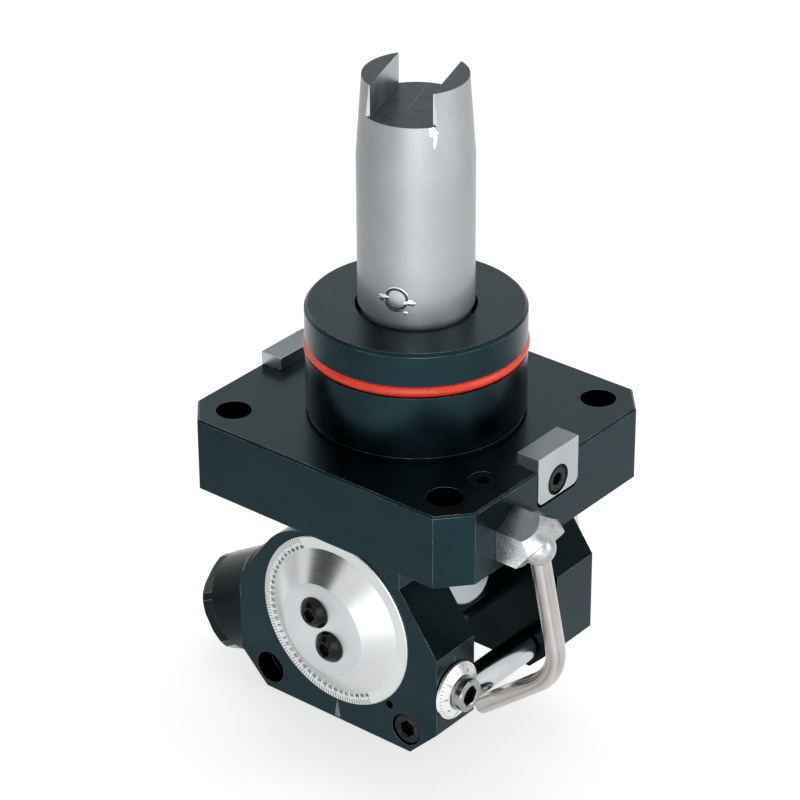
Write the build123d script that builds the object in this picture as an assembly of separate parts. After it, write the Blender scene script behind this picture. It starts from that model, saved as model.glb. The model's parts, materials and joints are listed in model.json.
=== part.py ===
"""Adjustable-angle live tool holder, in millimetres, +Z up.

The origin is where the drive shaft's axis meets the mounting face of the flange. The shaft points up
along +Z. The dial side of the fork faces -Y, and the spindle points to -X, swung down about the Y axis.
"""
from build123d import *
import os
from math import atan, cos, degrees, pi, radians, sin, sqrt, tan

# Fits shared by every piece
RUN_GAP = 0.05          # radial clearance of a journal in its bore
SLIDE_GAP = 0.1         # side clearance of a turning piece beside a fixed one
BIG = 400.0             # longer than any cut needs to be

# Flange and pilot
FLANGE_X = 87.8
FLANGE_Y = 80.0
FLANGE_T = 19.6
CORNER_X = 6.7
CORNER_Y = 7.7
BOLT_SPAN_X = 66.8
BOLT_SPAN_Y = 61.3
BOLT_HOLE_D = 9.0
FLANGE_EDGE = 0.5
PILOT_D = 55.0
PILOT_H = 28.7
PILOT_EDGE = 0.8
PILOT_BORE_D = 30.2
PILOT_BORE_DEPTH = 9.0
UNDERCUT_W = 1.4
UNDERCUT_DEPTH = 0.5
ORING_CORD = 3.0
ORING_Z = 18.4
ORING_PROUD = 0.45

# Driving keys on the two short sides
KEY_W = 16.0
KEY_TOP_T = 3.4
KEY_REACH = 6.6
KEY_TAB_T = 4.4
KEY_TAB_DROP = 9.6
KEY_PROUD = 0.2
KEY_CORNER_R = 2.0
KEY_SCREW_DROP = 5.4
POCKET_GAP = 0.15
POCKET_BELOW = 0.9

# Screw sizes: shank, head across, head height
KEY_SCREW = (4.0, 7.0, 2.6)
TIE_SCREW = (5.0, 8.4, 5.0)
DIAL_SCREW = (4.0, 8.4, 2.2)
COVER_SCREW = (3.0, 5.4, 3.0)
REAR_SCREW = (3.0, 5.6, 1.7)
SCREW_GAP = 0.3
SOCKET_SHARE = 0.5
BUTTON_FLAT_SHARE = 0.28
BUTTON_SOCKET_SHARE = 0.36
BUTTON_RIM = 0.35

# Fork under the flange
SWIVEL_DROP = 47.7
FORK_OUTER = 32.0
FORK_INNER = 17.1
CHEEK_HALF_X = 32.0
CHEEK_BOTTOM = 29.4
CHEEK_FOOT_CORNER = 8.4
CHEEK_SHOULDER_Z = 1.0
CHEEK_SLOPE = 54.1
CHEEK_NECK_BACK = 20.3
CHEEK_NECK_NOSE = 10.0
CHEEK_CROWN_R = 17.6
TIE_X = 22.3
TIE_DROP = 23.3
TIE_D = 8.0
TIE_BORE_DEPTH = 5.4
GRUB_X = 17.0
GRUB_DROP = 18.0
GRUB_D = 2.4
GRUB_L = 6.0
NECK_D = 29.0
NECK_L = 7.9

# Swivelling head, measured from the swivel axis
HEAD_SWING = 30.0
SWING_UP = 30.0
SWING_DOWN = 60.0
DRUM_R = 18.5
DRUM_FLAT = 13.5
SNOUT_D = 29.4
SNOUT_END = 52.6
SNOUT_BORE_D = 24.0
SNOUT_EDGE = 0.8
CAVITY_R = 13.4
CAVITY_HALF_W = 8.6
IDLER_POCKET_R = 11.2
IDLER_POCKET_Y = 11.0
ACCESS_D = 18.0
COVER_D = 23.0
COVER_T = 1.6
SHAFT_SLOT_HALF = 4.8

# Dials and trunnions
DIAL_D = 46.3
DIAL_RIM_T = 1.6
DIAL_PROUD = 0.6
DIAL_RING_W = 3.2
DIAL_RISE = 4.9
DIAL_FLAT_D = 25.0
DIAL_RECESS_GAP = 0.15
BACK_DIAL_T = 8.0
BACK_DIAL_EDGE = 1.6
SCREW_RADIUS = 4.7
COLLAR_D = 24.0
COLLAR_L = 3.0
JOURNAL_D = 17.0
BUSH_WALL = 1.5
BACK_SCREW_RADIUS = 9.0
BACK_SCREW_GRIP = 7.0

# Worm drive of the swivel
WORM_MODULE = 0.4
WHEEL_TEETH = 40
WORM_PITCH_R = 2.7
WORM_Y = 24.9
WORM_TURNS = 4.25
WORM_BACKLASH = 0.07
WHEEL_HALF_W = 2.6
WORM_JOURNAL_D = 4.0
WORM_BORE_DEPTH = 40.0
VERNIER_D = 15.2
VERNIER_RIM_T = 0.7
VERNIER_HUB_D = 8.6
VERNIER_CONE_D = 9.4
VERNIER_CONE_L = 1.2
VERNIER_L = 4.9
VERNIER_SOCKET = 4.7
VERNIER_SOCKET_DEPTH = 2.4

# Bevel gears: two pinions and the idler between them share one apex on the swivel axis
PINION_TEETH = 14
IDLER_TEETH = 20
BEVEL_OUTER_CONE = 11.5
BEVEL_FACE = 4.2
BEVEL_BACK = 1.5
BEVEL_BACKLASH = 0.14
BEVEL_ADDENDUM = 0.75
BEVEL_DEDENDUM = 1.0
BEVEL_SHAFT_SHARE = 0.7
OPEN_MESH_GAP = 2.4

# Drive shaft
SLEEVE_D = 28.8
SLEEVE_BOTTOM = 21.4
SLEEVE_TOP = 89.4
SLEEVE_TAPER_Z = 68.8
SLEEVE_RELIEF_D = 27.2
SLEEVE_RELIEF_TOP = 29.7
SLEEVE_TIP_D = 25.8
SLOT_W = 15.7
SLOT_DEPTH = 8.2
SLOT_TURN = 109.5
SLOT_TRIM = 10.1
SLEEVE_BORE_D = 18.0
SLEEVE_BORE_TOP = 72.0
PIN_D = 4.8
PIN_Z = 36.4
SHAFT_MAIN_D = 15.0
SHAFT_LOW_D = 10.0
SHAFT_GEAR_D = 8.0
SHAFT_CORE_TOP = 70.0

# Rolling bearings: bore, outside, width
INPUT_TOP_BEARING = (15.0, 28.0, 7.0)
INPUT_LOW_BEARING = (10.0, 22.0, 6.0)
SPINDLE_BEARING = (16.0, 24.0, 5.0)
INPUT_TOP_Z = 8.4
BALL_SHARE = 0.42
SEAL_W = 3.6
CLIP_T = 1.0
CLIP_DEPTH = 0.8

# Spindle, measured from the swivel axis towards the tool
SPINDLE_D = 16.0
SPINDLE_NOSE_D = 22.0
SPINDLE_NOSE_END = 66.0
BEARING_REAR = 15.2
BEARING_MID = 35.4
BEARING_FRONT = 40.4
NUT_D = 28.0
NUT_START = 53.6
NUT_END = 71.0
NUT_HEX = 25.2
NUT_HEX_L = 5.0
NUT_EDGE = 1.2
NUT_TURN = 30.0
COLLET_D = 17.0
COLLET_START = 43.0
COLLET_TAPER = 8.0
COLLET_FRONT_CONE = 30.0
COLLET_SLITS = 8
COLLET_SLIT_W = 0.8
TOOL_D = 10.0
SPINDLE_BORE_D = 9.0

# Coolant outlet on the flange's side
NOZZLE_Y = -17.4
NOZZLE_Z = -12.6
NOZZLE_HEX = 14.0
NOZZLE_SHOULDER = 7.7
NOZZLE_REACH = 14.5
NOZZLE_CONE = 32.4
NOZZLE_STUB_D = 8.0
NOZZLE_STUB_L = 7.0
NOZZLE_CUT_X = 9.3
NOZZLE_CUT_ANGLE = 38.0
NOZZLE_BALL_R = 4.3
NOZZLE_BALL_X = 7.5
NOZZLE_BALL_DROP = 1.0
PIPE_D = 5.0
PIPE_BORE_D = 3.2
PIPE_GRIP = 2.5
PIPE_BEND_R = 24.0
PIPE_KNEE = (50.0, -5.7, -56.3)
PIPE_TIP = (22.7, 0.0, -81.0)

# Coolant plug on the mounting face
PLUG_X = 35.4
PLUG_Y = -18.5
PLUG_D = 7.0
PLUG_L = 6.0
PLUG_SUNK = 0.3

PILOT_R = PILOT_D / 2
DRUM_HALF_W = FORK_INNER - SLIDE_GAP - RUN_GAP
WHEEL_PITCH_R = WORM_MODULE * WHEEL_TEETH / 2
WHEEL_TIP_R = WHEEL_PITCH_R + WORM_MODULE
WORM_DROP = WHEEL_PITCH_R + WORM_PITCH_R
WORM_LEAD = pi * WORM_MODULE
WORM_HALF_L = WORM_TURNS * WORM_LEAD
WORM_TIP_R = WORM_PITCH_R + WORM_MODULE
WORM_ROOT_R = WORM_PITCH_R - 1.2 * WORM_MODULE
PINION_CONE = degrees(atan(PINION_TEETH / IDLER_TEETH))
IDLER_CONE = 90 - PINION_CONE
PINION_HEIGHT = BEVEL_OUTER_CONE * cos(radians(PINION_CONE))
IDLER_HEIGHT = BEVEL_OUTER_CONE * cos(radians(IDLER_CONE))
INPUT_LOW_Z = -FLANGE_T - NECK_L + CLIP_T + 0.6
DIAL_FACE = FORK_OUTER + DIAL_PROUD
DIAL_BACK = DIAL_FACE - DIAL_RIM_T
SIDE_X = FLANGE_X / 2

SWIVEL = Vector(0, 0, -SWIVEL_DROP)
BACK_DIR = Vector(cos(radians(HEAD_SWING)), 0, sin(radians(HEAD_SWING)))
UP_DIR = Vector(-sin(radians(HEAD_SWING)), 0, cos(radians(HEAD_SWING)))

# Frames: a turned piece is drawn about its frame's own Z axis
SHAFT = Plane(origin=(0, 0, 0), x_dir=(1, 0, 0), z_dir=(0, 0, 1))
APEX_UP = Plane(origin=SWIVEL, x_dir=(1, 0, 0), z_dir=(0, 0, 1))
FRONT = Plane(origin=SWIVEL, x_dir=(1, 0, 0), z_dir=(0, -1, 0))
REAR = Plane(origin=SWIVEL, x_dir=(1, 0, 0), z_dir=(0, 1, 0))
HEAD_SIDE = Plane(origin=SWIVEL, x_dir=BACK_DIR, z_dir=(0, -1, 0))
HEAD_REAR = Plane(origin=SWIVEL, x_dir=BACK_DIR, z_dir=(0, 1, 0))
NOSE = Plane(origin=SWIVEL, x_dir=(0, 1, 0), z_dir=-BACK_DIR)
BACK = Plane(origin=SWIVEL, x_dir=(0, 1, 0), z_dir=BACK_DIR)
WORM = Plane(origin=(0, -WORM_Y, -SWIVEL_DROP - WORM_DROP), x_dir=(0, 1, 0), z_dir=(1, 0, 0))
NOZZLE = Plane(origin=(SIDE_X, NOZZLE_Y, NOZZLE_Z), x_dir=(0, 1, 0), z_dir=(1, 0, 0))

pieces = {}


def turned(outline, frame=SHAFT):
    """Revolve a closed outline of (radius, height) corners about the frame's Z axis."""
    wire = Polyline(*[(radius, 0, height) for radius, height in outline], close=True)
    return frame.location * revolve(make_face(wire), Axis.Z, 360)


def rod(diameter, low, high, frame=SHAFT, x=0.0, y=0.0):
    """A plain cylinder between two heights of the frame."""
    blank = Cylinder(diameter / 2, high - low, align=(Align.CENTER, Align.CENTER, Align.MIN))
    return frame.location * Pos(x, y, low) * blank


def ring(outer, inner, low, high, frame=SHAFT):
    """A plain ring between two heights of the frame."""
    return turned([(inner / 2, low), (outer / 2, low), (outer / 2, high), (inner / 2, high)], frame)


def hexagon(across, low, high, frame, turn=0.0):
    """A hexagonal prism, its width given across the flats."""
    face = RegularPolygon(across / sqrt(3), 6, rotation=turn)
    return frame.location * Pos(0, 0, low) * extrude(face, high - low)


def cap_screw(screw, length, frame, x=0.0, y=0.0, seat=0.0):
    """A socket screw whose head stands on a seat height of the frame, its shank running down from it."""
    shank, head, height = screw
    edge = min(0.4, height / 4)
    outline = [(0, -length), (shank / 2 - edge, -length), (shank / 2, -length + edge), (shank / 2, 0)]
    outline += [(head / 2, 0), (head / 2, height - edge), (head / 2 - edge, height), (0, height)]
    body = turned(outline)
    body -= hexagon(SOCKET_SHARE * head, height * 0.45, height + 1, SHAFT)
    return frame.location * Pos(x, y, seat) * body


def button_screw(screw, length, frame, x, y, seat):
    """A screw with a round-topped button head and a hexagonal socket."""
    shank, head, height = screw
    flat = BUTTON_FLAT_SHARE * head
    drop = ((head / 2) ** 2 + BUTTON_RIM ** 2 - flat ** 2 - height ** 2) / (2 * (height - BUTTON_RIM))
    crown_r = sqrt(flat ** 2 + (height + drop) ** 2)
    middle = (head / 2 + flat) / 2
    lines = Polyline((flat, 0, height), (0, 0, height), (0, 0, -length), (shank / 2, 0, -length),
                     (shank / 2, 0, 0), (head / 2, 0, 0), (head / 2, 0, BUTTON_RIM))
    crown = ThreePointArc((head / 2, 0, BUTTON_RIM), (middle, 0, sqrt(crown_r ** 2 - middle ** 2) - drop),
                          (flat, 0, height))
    body = revolve(make_face(lines + crown), Axis.Z, 360)
    body -= hexagon(BUTTON_SOCKET_SHARE * head, height * 0.4, height + 1, SHAFT)
    return frame.location * Pos(x, y, seat) * body


def bearing(sizes, low, frame):
    """The outer ring and the inner ring with its caged balls."""
    bore, outside, width = sizes
    wall = (outside - bore) / 2
    land = wall * (1 - BALL_SHARE) / 2
    middle = low + width / 2
    centre_r = (outside + bore) / 4
    ball_r = wall * BALL_SHARE / 2 + 0.35 * land
    outer = ring(outside, outside - 2 * land, low, low + width, frame)
    groove = frame.location * Pos(0, 0, middle) * Torus(centre_r, ball_r + RUN_GAP)
    inner = ring(bore + 2 * land, bore, low, low + width, frame)
    cage = ring(2 * centre_r + 1.0, 2 * centre_r - 1.0, middle - width * 0.3, middle + width * 0.3, frame)
    count = int(pi * centre_r / (ball_r * 1.25))
    balls = [Rot(0, 0, 360 / count * turn) * Pos(centre_r, 0, middle) * Sphere(ball_r) for turn in range(count)]
    inner = inner + cage
    for ball in balls:
        inner += frame.location * ball
    return outer - groove, inner


def bevel_gap(cone, tooth_count, module):
    """One tooth gap of a bevel gear, a wedge that narrows towards the apex at the frame's origin."""
    slant = radians(cone)
    half_gap = pi * module / 4 + BEVEL_BACKLASH * module
    top = 1.4 * module
    bottom = -BEVEL_DEDENDUM * module
    lean = tan(radians(20))
    across = [(-half_gap - top * lean, top), (half_gap + top * lean, top)]
    across += [(half_gap + bottom * lean, bottom), (-half_gap - bottom * lean, bottom)]
    sections = []
    for scale in (1.35, 0.35):
        reach = BEVEL_OUTER_CONE * scale
        corners = []
        for side, rise in across:
            radius = reach * sin(slant) + rise * scale * cos(slant)
            height = reach * cos(slant) - rise * scale * sin(slant)
            corners.append((radius, side * scale, height))
        sections.append(make_face(Polyline(*corners, close=True)))
    return loft(sections, ruled=True)


def bevel_gear(cone, tooth_count, bore, hub_d, hub_end, phase, frame):
    """A straight bevel gear whose pitch cone has its apex at the frame's origin."""
    slant = radians(cone)
    pitch_r = BEVEL_OUTER_CONE * sin(slant)
    pitch_h = BEVEL_OUTER_CONE * cos(slant)
    module = 2 * pitch_r / tooth_count
    rise = BEVEL_ADDENDUM * module
    inner = (BEVEL_OUTER_CONE - BEVEL_FACE) / BEVEL_OUTER_CONE
    tip = (pitch_r + rise * cos(slant), pitch_h - rise * sin(slant))
    root = (pitch_r - module * cos(slant), pitch_h + module * sin(slant))
    back_h = pitch_h + BEVEL_BACK
    outline = [(bore / 2, tip[1] * inner), (tip[0] * inner, tip[1] * inner), tip, (root[0] + 0.35, back_h)]
    outline += [(hub_d / 2, back_h), (hub_d / 2, hub_end), (bore / 2, hub_end)]
    gear = turned(outline)
    gap = bevel_gap(cone, tooth_count, module)
    for tooth in range(tooth_count):
        gear -= Rot(0, 0, phase + 360 / tooth_count * tooth) * gap
    return frame.location * gear


def trunnion_screw_spots():
    """Where the two dial screws stand in the head's side frame, in line across the swivel axis."""
    return [(0, SCREW_RADIUS), (0, -SCREW_RADIUS)]


def cheek_outline():
    """The cheek seen from the front, with the swivel axis at the drawing's origin."""
    slope = radians(CHEEK_SLOPE)
    shoulder = (CHEEK_HALF_X, CHEEK_SHOULDER_Z)
    neck_h = SWIVEL_DROP - FLANGE_T
    back_top = (CHEEK_NECK_BACK, CHEEK_SHOULDER_Z + (CHEEK_HALF_X - CHEEK_NECK_BACK) * tan(slope))
    arc_turn = slope - radians(14)
    arc_drop = CHEEK_CROWN_R * (cos(radians(14)) - cos(slope))
    arc_run = CHEEK_CROWN_R * (sin(slope) - sin(radians(14)))
    crown_x = -CHEEK_NECK_NOSE - 2.2
    start = (crown_x - arc_run, CHEEK_SHOULDER_Z + (CHEEK_HALF_X - arc_run + crown_x) * tan(slope))
    end = (crown_x, start[1] + arc_drop)
    middle_turn = slope - arc_turn / 2
    middle = (start[0] + CHEEK_CROWN_R * (sin(slope) - sin(middle_turn)),
              start[1] + CHEEK_CROWN_R * (cos(middle_turn) - cos(slope)))
    foot_x = CHEEK_HALF_X - CHEEK_FOOT_CORNER
    foot_z = -CHEEK_BOTTOM + CHEEK_FOOT_CORNER
    lines = Polyline(end, (-CHEEK_NECK_NOSE, end[1] + 2.2 * tan(radians(14))), (-CHEEK_NECK_NOSE, neck_h + 1),
                     (CHEEK_NECK_BACK, neck_h + 1), back_top, shoulder, (CHEEK_HALF_X, foot_z),
                     (foot_x, -CHEEK_BOTTOM), (-foot_x, -CHEEK_BOTTOM), (-CHEEK_HALF_X, foot_z),
                     (-CHEEK_HALF_X, CHEEK_SHOULDER_Z), start)
    return make_face(lines + ThreePointArc(start, middle, end))


def key_frames():
    """The back side's frame and the nose side's, each with its Z axis out of the flange."""
    back = Plane(origin=(SIDE_X, 0, 0), x_dir=(0, 1, 0), z_dir=(1, 0, 0))
    nose = Plane(origin=(-SIDE_X, 0, 0), x_dir=(0, -1, 0), z_dir=(-1, 0, 0))
    return {"back": back, "nose": nose}


def key_tab(half_w, drop, low, high, corner):
    """The hanging tab of a key, drawn on its side frame, with round lower corners."""
    tab = Pos(0, -drop / 2, low) * extrude(Rectangle(2 * half_w, drop), high - low)
    return fillet(tab.edges().filter_by(Axis.Z).group_by(Axis.Y)[0], corner)


def flange_body():
    """The flange with its pilot, neck and fork, milled from one block."""
    half_x = FLANGE_X / 2
    half_y = FLANGE_Y / 2
    cut_x = half_x - CORNER_X
    cut_y = half_y - CORNER_Y
    corners = [(cut_x, -half_y), (half_x, -cut_y), (half_x, cut_y), (cut_x, half_y)]
    corners += [(-cut_x, half_y), (-half_x, cut_y), (-half_x, -cut_y), (-cut_x, -half_y)]
    plate = Pos(0, 0, -FLANGE_T) * extrude(make_face(Polyline(*corners, close=True)), FLANGE_T)
    plate = chamfer(plate.edges().group_by(Axis.Z)[-1], FLANGE_EDGE)
    body = plate + pilot()
    body += rod(NECK_D, -FLANGE_T - NECK_L, -FLANGE_T)
    cheek = cheek_outline()
    body += FRONT.location * Pos(0, 0, FORK_INNER) * extrude(cheek, FORK_OUTER - FORK_INNER)
    body += FRONT.location * Pos(0, 0, -FORK_OUTER) * extrude(cheek, FORK_OUTER - FORK_INNER)
    body -= turned(input_bore())
    for x in (-BOLT_SPAN_X / 2, BOLT_SPAN_X / 2):
        for y in (-BOLT_SPAN_Y / 2, BOLT_SPAN_Y / 2):
            body -= rod(BOLT_HOLE_D, -FLANGE_T - 1, 1, SHAFT, x, y)
    for frame in key_frames().values():
        pocket = key_tab(KEY_W / 2 + POCKET_GAP, KEY_TAB_DROP + POCKET_BELOW, KEY_PROUD - KEY_TAB_T, 1, KEY_CORNER_R)
        body -= frame.location * pocket
        body -= rod(KEY_SCREW[0], -KEY_TAB_T - 9, 1, frame, 0, -KEY_SCREW_DROP)
    body -= rod(PLUG_D, -PLUG_L - PLUG_SUNK, 1, SHAFT, PLUG_X, PLUG_Y)
    return body - fork_cuts() - nozzle_port()


def pilot():
    """The pilot with its undercut, its seal groove and a light edge."""
    groove_r = PILOT_R + ORING_PROUD - ORING_CORD
    half = ORING_CORD / 2 + 0.1
    outline = [(0, -1), (PILOT_R - UNDERCUT_DEPTH, -1), (PILOT_R - UNDERCUT_DEPTH, UNDERCUT_W)]
    outline += [(PILOT_R, UNDERCUT_W), (PILOT_R, ORING_Z - half), (groove_r, ORING_Z - half)]
    outline += [(groove_r, ORING_Z + half), (PILOT_R, ORING_Z + half), (PILOT_R, PILOT_H - PILOT_EDGE)]
    outline += [(PILOT_R - PILOT_EDGE, PILOT_H), (0, PILOT_H)]
    return turned(outline)


def input_bore():
    """The stepped bore that the drive shaft runs in."""
    top_r = INPUT_TOP_BEARING[1] / 2
    low_r = INPUT_LOW_BEARING[1] / 2
    seat_top = INPUT_LOW_Z + INPUT_LOW_BEARING[2]
    waist = INPUT_LOW_BEARING[0] / 2 + 2.5
    bottom = -FLANGE_T - NECK_L - 1
    outline = [(0, bottom), (low_r, bottom), (low_r, seat_top), (waist, seat_top), (waist, INPUT_TOP_Z)]
    outline += [(top_r, INPUT_TOP_Z), (top_r, PILOT_H - PILOT_BORE_DEPTH)]
    outline += [(PILOT_BORE_D / 2, PILOT_H - PILOT_BORE_DEPTH), (PILOT_BORE_D / 2, PILOT_H + 1), (0, PILOT_H + 1)]
    return outline


def fork_cuts():
    """Trunnion bores, dial seat, worm bore and the tie bar's screw holes."""
    recess_d = DIAL_D + 2 * DIAL_RECESS_GAP
    collar_d = COLLAR_D + 2 * RUN_GAP
    collar_end = DIAL_BACK - COLLAR_L - SLIDE_GAP
    cuts = rod(recess_d, DIAL_BACK - SLIDE_GAP, BIG, FRONT)
    cuts += rod(collar_d, collar_end, BIG, FRONT)
    cuts += rod(JOURNAL_D + 2 * RUN_GAP, FORK_INNER - 1, BIG, FRONT)
    cuts += rod(collar_d, FORK_INNER - 1, BIG, REAR)
    cuts += rod(recess_d, DIAL_BACK - SLIDE_GAP, BIG, REAR)
    cuts += rod(2 * WORM_TIP_R + 4 * RUN_GAP, CHEEK_HALF_X - WORM_BORE_DEPTH, BIG, WORM)
    for x in (-TIE_X, TIE_X):
        for frame in (FRONT, REAR):
            cuts += rod(TIE_SCREW[1] + SCREW_GAP, FORK_OUTER - TIE_BORE_DEPTH, BIG, frame, x, tie_side(frame))
            cuts += rod(TIE_SCREW[0] + SCREW_GAP, FORK_INNER - 1, BIG, frame, x, tie_side(frame))
    cuts += rod(GRUB_D, FORK_OUTER - GRUB_L, BIG, FRONT, GRUB_X, -GRUB_DROP)
    return cuts


def tie_side(frame):
    """Which way down lies in a side frame: the rear frame is the front one turned over."""
    return -TIE_DROP if frame is FRONT else TIE_DROP


def nozzle_port():
    """The threaded port that the coolant outlet turns in."""
    return rod(NOZZLE_STUB_D + 2 * RUN_GAP, -NOZZLE_STUB_L - 1, 1, NOZZLE)


def key_piece(frame):
    """An L-shaped driving key: a bar on the mounting face and a tab with its screw seat."""
    shank, head, height = KEY_SCREW
    bar = Pos(0, KEY_TOP_T / 2, KEY_PROUD - KEY_REACH) * extrude(Rectangle(KEY_W, KEY_TOP_T), KEY_REACH)
    tab = key_tab(KEY_W / 2, KEY_TAB_DROP, KEY_PROUD - KEY_TAB_T, KEY_PROUD, KEY_CORNER_R)
    key = bar + tab
    key -= Pos(0, -KEY_SCREW_DROP, -KEY_TAB_T - 1) * extrude(Circle((shank + SCREW_GAP) / 2), BIG)
    seat = KEY_PROUD - height - 0.2
    key -= Pos(0, -KEY_SCREW_DROP, seat) * extrude(Circle(head / 2 + 0.5), BIG)
    return frame.location * key


def add_keys():
    """Both driving keys with their screws."""
    for side, frame in key_frames().items():
        pieces[f"driving_key_{side}"] = key_piece(frame)
        seat = KEY_PROUD - KEY_SCREW[2] - 0.2
        pieces[f"key_screw_{side}"] = cap_screw(KEY_SCREW, 9.0, frame, 0, -KEY_SCREW_DROP, seat)


def add_seals_and_bearings():
    """The pilot's seal ring and what carries the drive shaft."""
    ring_r = PILOT_R + ORING_PROUD - ORING_CORD / 2
    pieces["pilot_seal_ring"] = Pos(0, 0, ORING_Z) * Torus(ring_r, ORING_CORD / 2)
    top_bore, top_out, top_w = INPUT_TOP_BEARING
    outer, inner = bearing(INPUT_TOP_BEARING, INPUT_TOP_Z, SHAFT)
    pieces["input_bearing_upper_outer"] = outer
    pieces["input_bearing_upper_inner"] = inner
    seal_low = INPUT_TOP_Z + top_w
    pieces["shaft_seal"] = ring(top_out, top_bore + 2 * RUN_GAP, seal_low, seal_low + SEAL_W)
    outer, inner = bearing(INPUT_LOW_BEARING, INPUT_LOW_Z, SHAFT)
    pieces["input_bearing_lower_outer"] = outer
    pieces["input_bearing_lower_inner"] = inner
    low_out = INPUT_LOW_BEARING[1]
    pieces["lower_bearing_clip"] = ring(low_out, low_out - 3.0, INPUT_LOW_Z - CLIP_T, INPUT_LOW_Z)


def drive_sleeve():
    """The slotted drive end: a sleeve with a taper, a driving slot and a cross hole."""
    radius = SLEEVE_D / 2
    tip = SLEEVE_TIP_D / 2
    relief = SLEEVE_RELIEF_D / 2
    outline = [(SLEEVE_BORE_D / 2, SLEEVE_BOTTOM), (relief, SLEEVE_BOTTOM), (relief, SLEEVE_RELIEF_TOP)]
    outline += [(radius, SLEEVE_RELIEF_TOP), (radius, SLEEVE_TAPER_Z), (tip, SLEEVE_TOP), (0, SLEEVE_TOP)]
    outline += [(0, SLEEVE_BORE_TOP), (SLEEVE_BORE_D / 2, SLEEVE_BORE_TOP)]
    sleeve = turned(outline)
    cut = Pos(0, 0, SLEEVE_TOP - SLOT_DEPTH / 2 + 0.5) * Box(2 * SLEEVE_D, SLOT_W, SLOT_DEPTH + 1)
    for side in (-1, 1):
        trim = Box(SLEEVE_D, 2 * SLEEVE_D, SLOT_DEPTH + 1)
        cut += Pos(side * (SLOT_TRIM + SLEEVE_D / 2), 0, SLEEVE_TOP - SLOT_DEPTH / 2 + 0.5) * trim
    sleeve -= Rot(0, 0, SLOT_TURN) * cut
    return sleeve - cross_hole()


def cross_hole(extra=0.0):
    """The hole across the drive end, in line with the driving slot."""
    hole = Cylinder(PIN_D / 2 + extra, 2 * SLEEVE_D, rotation=(0, 90, 0))
    return Rot(0, 0, SLOT_TURN) * Pos(0, 0, PIN_Z) * hole


def add_drive_shaft():
    """The shaft with its slotted sleeve, cross pin and bevel pinion."""
    gear_low = -SWIVEL_DROP + PINION_HEIGHT * BEVEL_SHAFT_SHARE
    main_r = SHAFT_MAIN_D / 2
    core_r = SLEEVE_BORE_D / 2
    low_top = INPUT_LOW_Z + INPUT_LOW_BEARING[2]
    outline = [(0, gear_low), (SHAFT_GEAR_D / 2, gear_low), (SHAFT_GEAR_D / 2, INPUT_LOW_Z - CLIP_T)]
    outline += [(SHAFT_LOW_D / 2, INPUT_LOW_Z - CLIP_T), (SHAFT_LOW_D / 2, low_top), (SHAFT_LOW_D / 2 + 1, low_top)]
    outline += [(SHAFT_LOW_D / 2 + 1, INPUT_TOP_Z), (main_r, INPUT_TOP_Z), (main_r, SLEEVE_BOTTOM)]
    outline += [(core_r, SLEEVE_BOTTOM), (core_r, SHAFT_CORE_TOP), (0, SHAFT_CORE_TOP)]
    pieces["input_shaft"] = turned(outline) - cross_hole()
    pieces["drive_sleeve"] = drive_sleeve()
    outer_shape = turned([(0, 0), (SLEEVE_D / 2 - 0.3, 0), (SLEEVE_D / 2 - 0.3, 60), (0, 60)])
    pieces["cross_pin"] = cross_hole() & outer_shape
    pieces["input_pinion"] = bevel_gear(PINION_CONE, PINION_TEETH, SHAFT_GEAR_D, SHAFT_GEAR_D + 3,
                                        PINION_HEIGHT + BEVEL_BACK + 0.8, 90 + 180 / PINION_TEETH, APEX_UP)


def head_housing():
    """The drum that swings in the fork, with the snout that carries the spindle."""
    side = extrude(Circle(DRUM_R), DRUM_HALF_W, both=True)
    side &= Pos(DRUM_FLAT - BIG / 2, 0, 0) * Box(BIG, BIG, BIG)
    body = HEAD_SIDE.location * side
    snout = rod(SNOUT_D, 0, SNOUT_END, NOSE)
    snout = chamfer(snout.edges().sort_by(lambda edge: (edge.center() - SWIVEL).length)[-1], SNOUT_EDGE)
    body += snout
    body -= HEAD_SIDE.location * Pos(0, 0, 0) * extrude(Circle(CAVITY_R), CAVITY_HALF_W, both=True)
    body -= rod(2 * IDLER_POCKET_R, 0, IDLER_POCKET_Y, REAR)
    body -= rod(SNOUT_BORE_D, 8, SNOUT_END + 1, NOSE)
    body -= rod(ACCESS_D, 0, BIG, BACK)
    body -= shaft_slot()
    for x, y in trunnion_screw_spots():
        body -= rod(DIAL_SCREW[0], 0, BIG, HEAD_SIDE, x, y)
    for x, y in back_screw_spots():
        body -= rod(COVER_SCREW[0], 0, BIG, HEAD_REAR, x, y)
    body -= rod(2 * idler_bore_r(), 0, BIG, REAR)
    return body


def idler_bore_r():
    """The drum wall's opening behind the idler, as wide as the bush in the rear trunnion."""
    return SHAFT_GEAR_D / 2 + BUSH_WALL + 0.3


def back_screw_spots(first=90):
    """Three screws in a circle: from 90 degrees those of the trunnion, from 30 those of the rear dial."""
    turns = [radians(first + 120 * step) for step in range(3)]
    return [(BACK_SCREW_RADIUS * cos(turn), BACK_SCREW_RADIUS * sin(turn)) for turn in turns]


def shaft_slot():
    """The slot in the drum's wall that lets the head swing past the fixed drive shaft."""
    first = 90 - HEAD_SWING - SWING_DOWN
    last = 90 - HEAD_SWING + SWING_UP
    reach = 2 * DRUM_R
    steps = 6
    fan = [(0, 0)]
    for step in range(steps + 1):
        turn = radians(first + (last - first) * step / steps)
        fan.append((reach * cos(turn), reach * sin(turn)))
    slot = extrude(make_face(Polyline(*fan, close=True)), SHAFT_SLOT_HALF, both=True)
    for turn in (first, last):
        end = Cylinder(SHAFT_SLOT_HALF, reach, rotation=(0, 90, 0), align=(Align.CENTER, Align.CENTER, Align.MIN))
        slot += Rot(0, 0, turn) * end
    return HEAD_SIDE.location * slot


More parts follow.
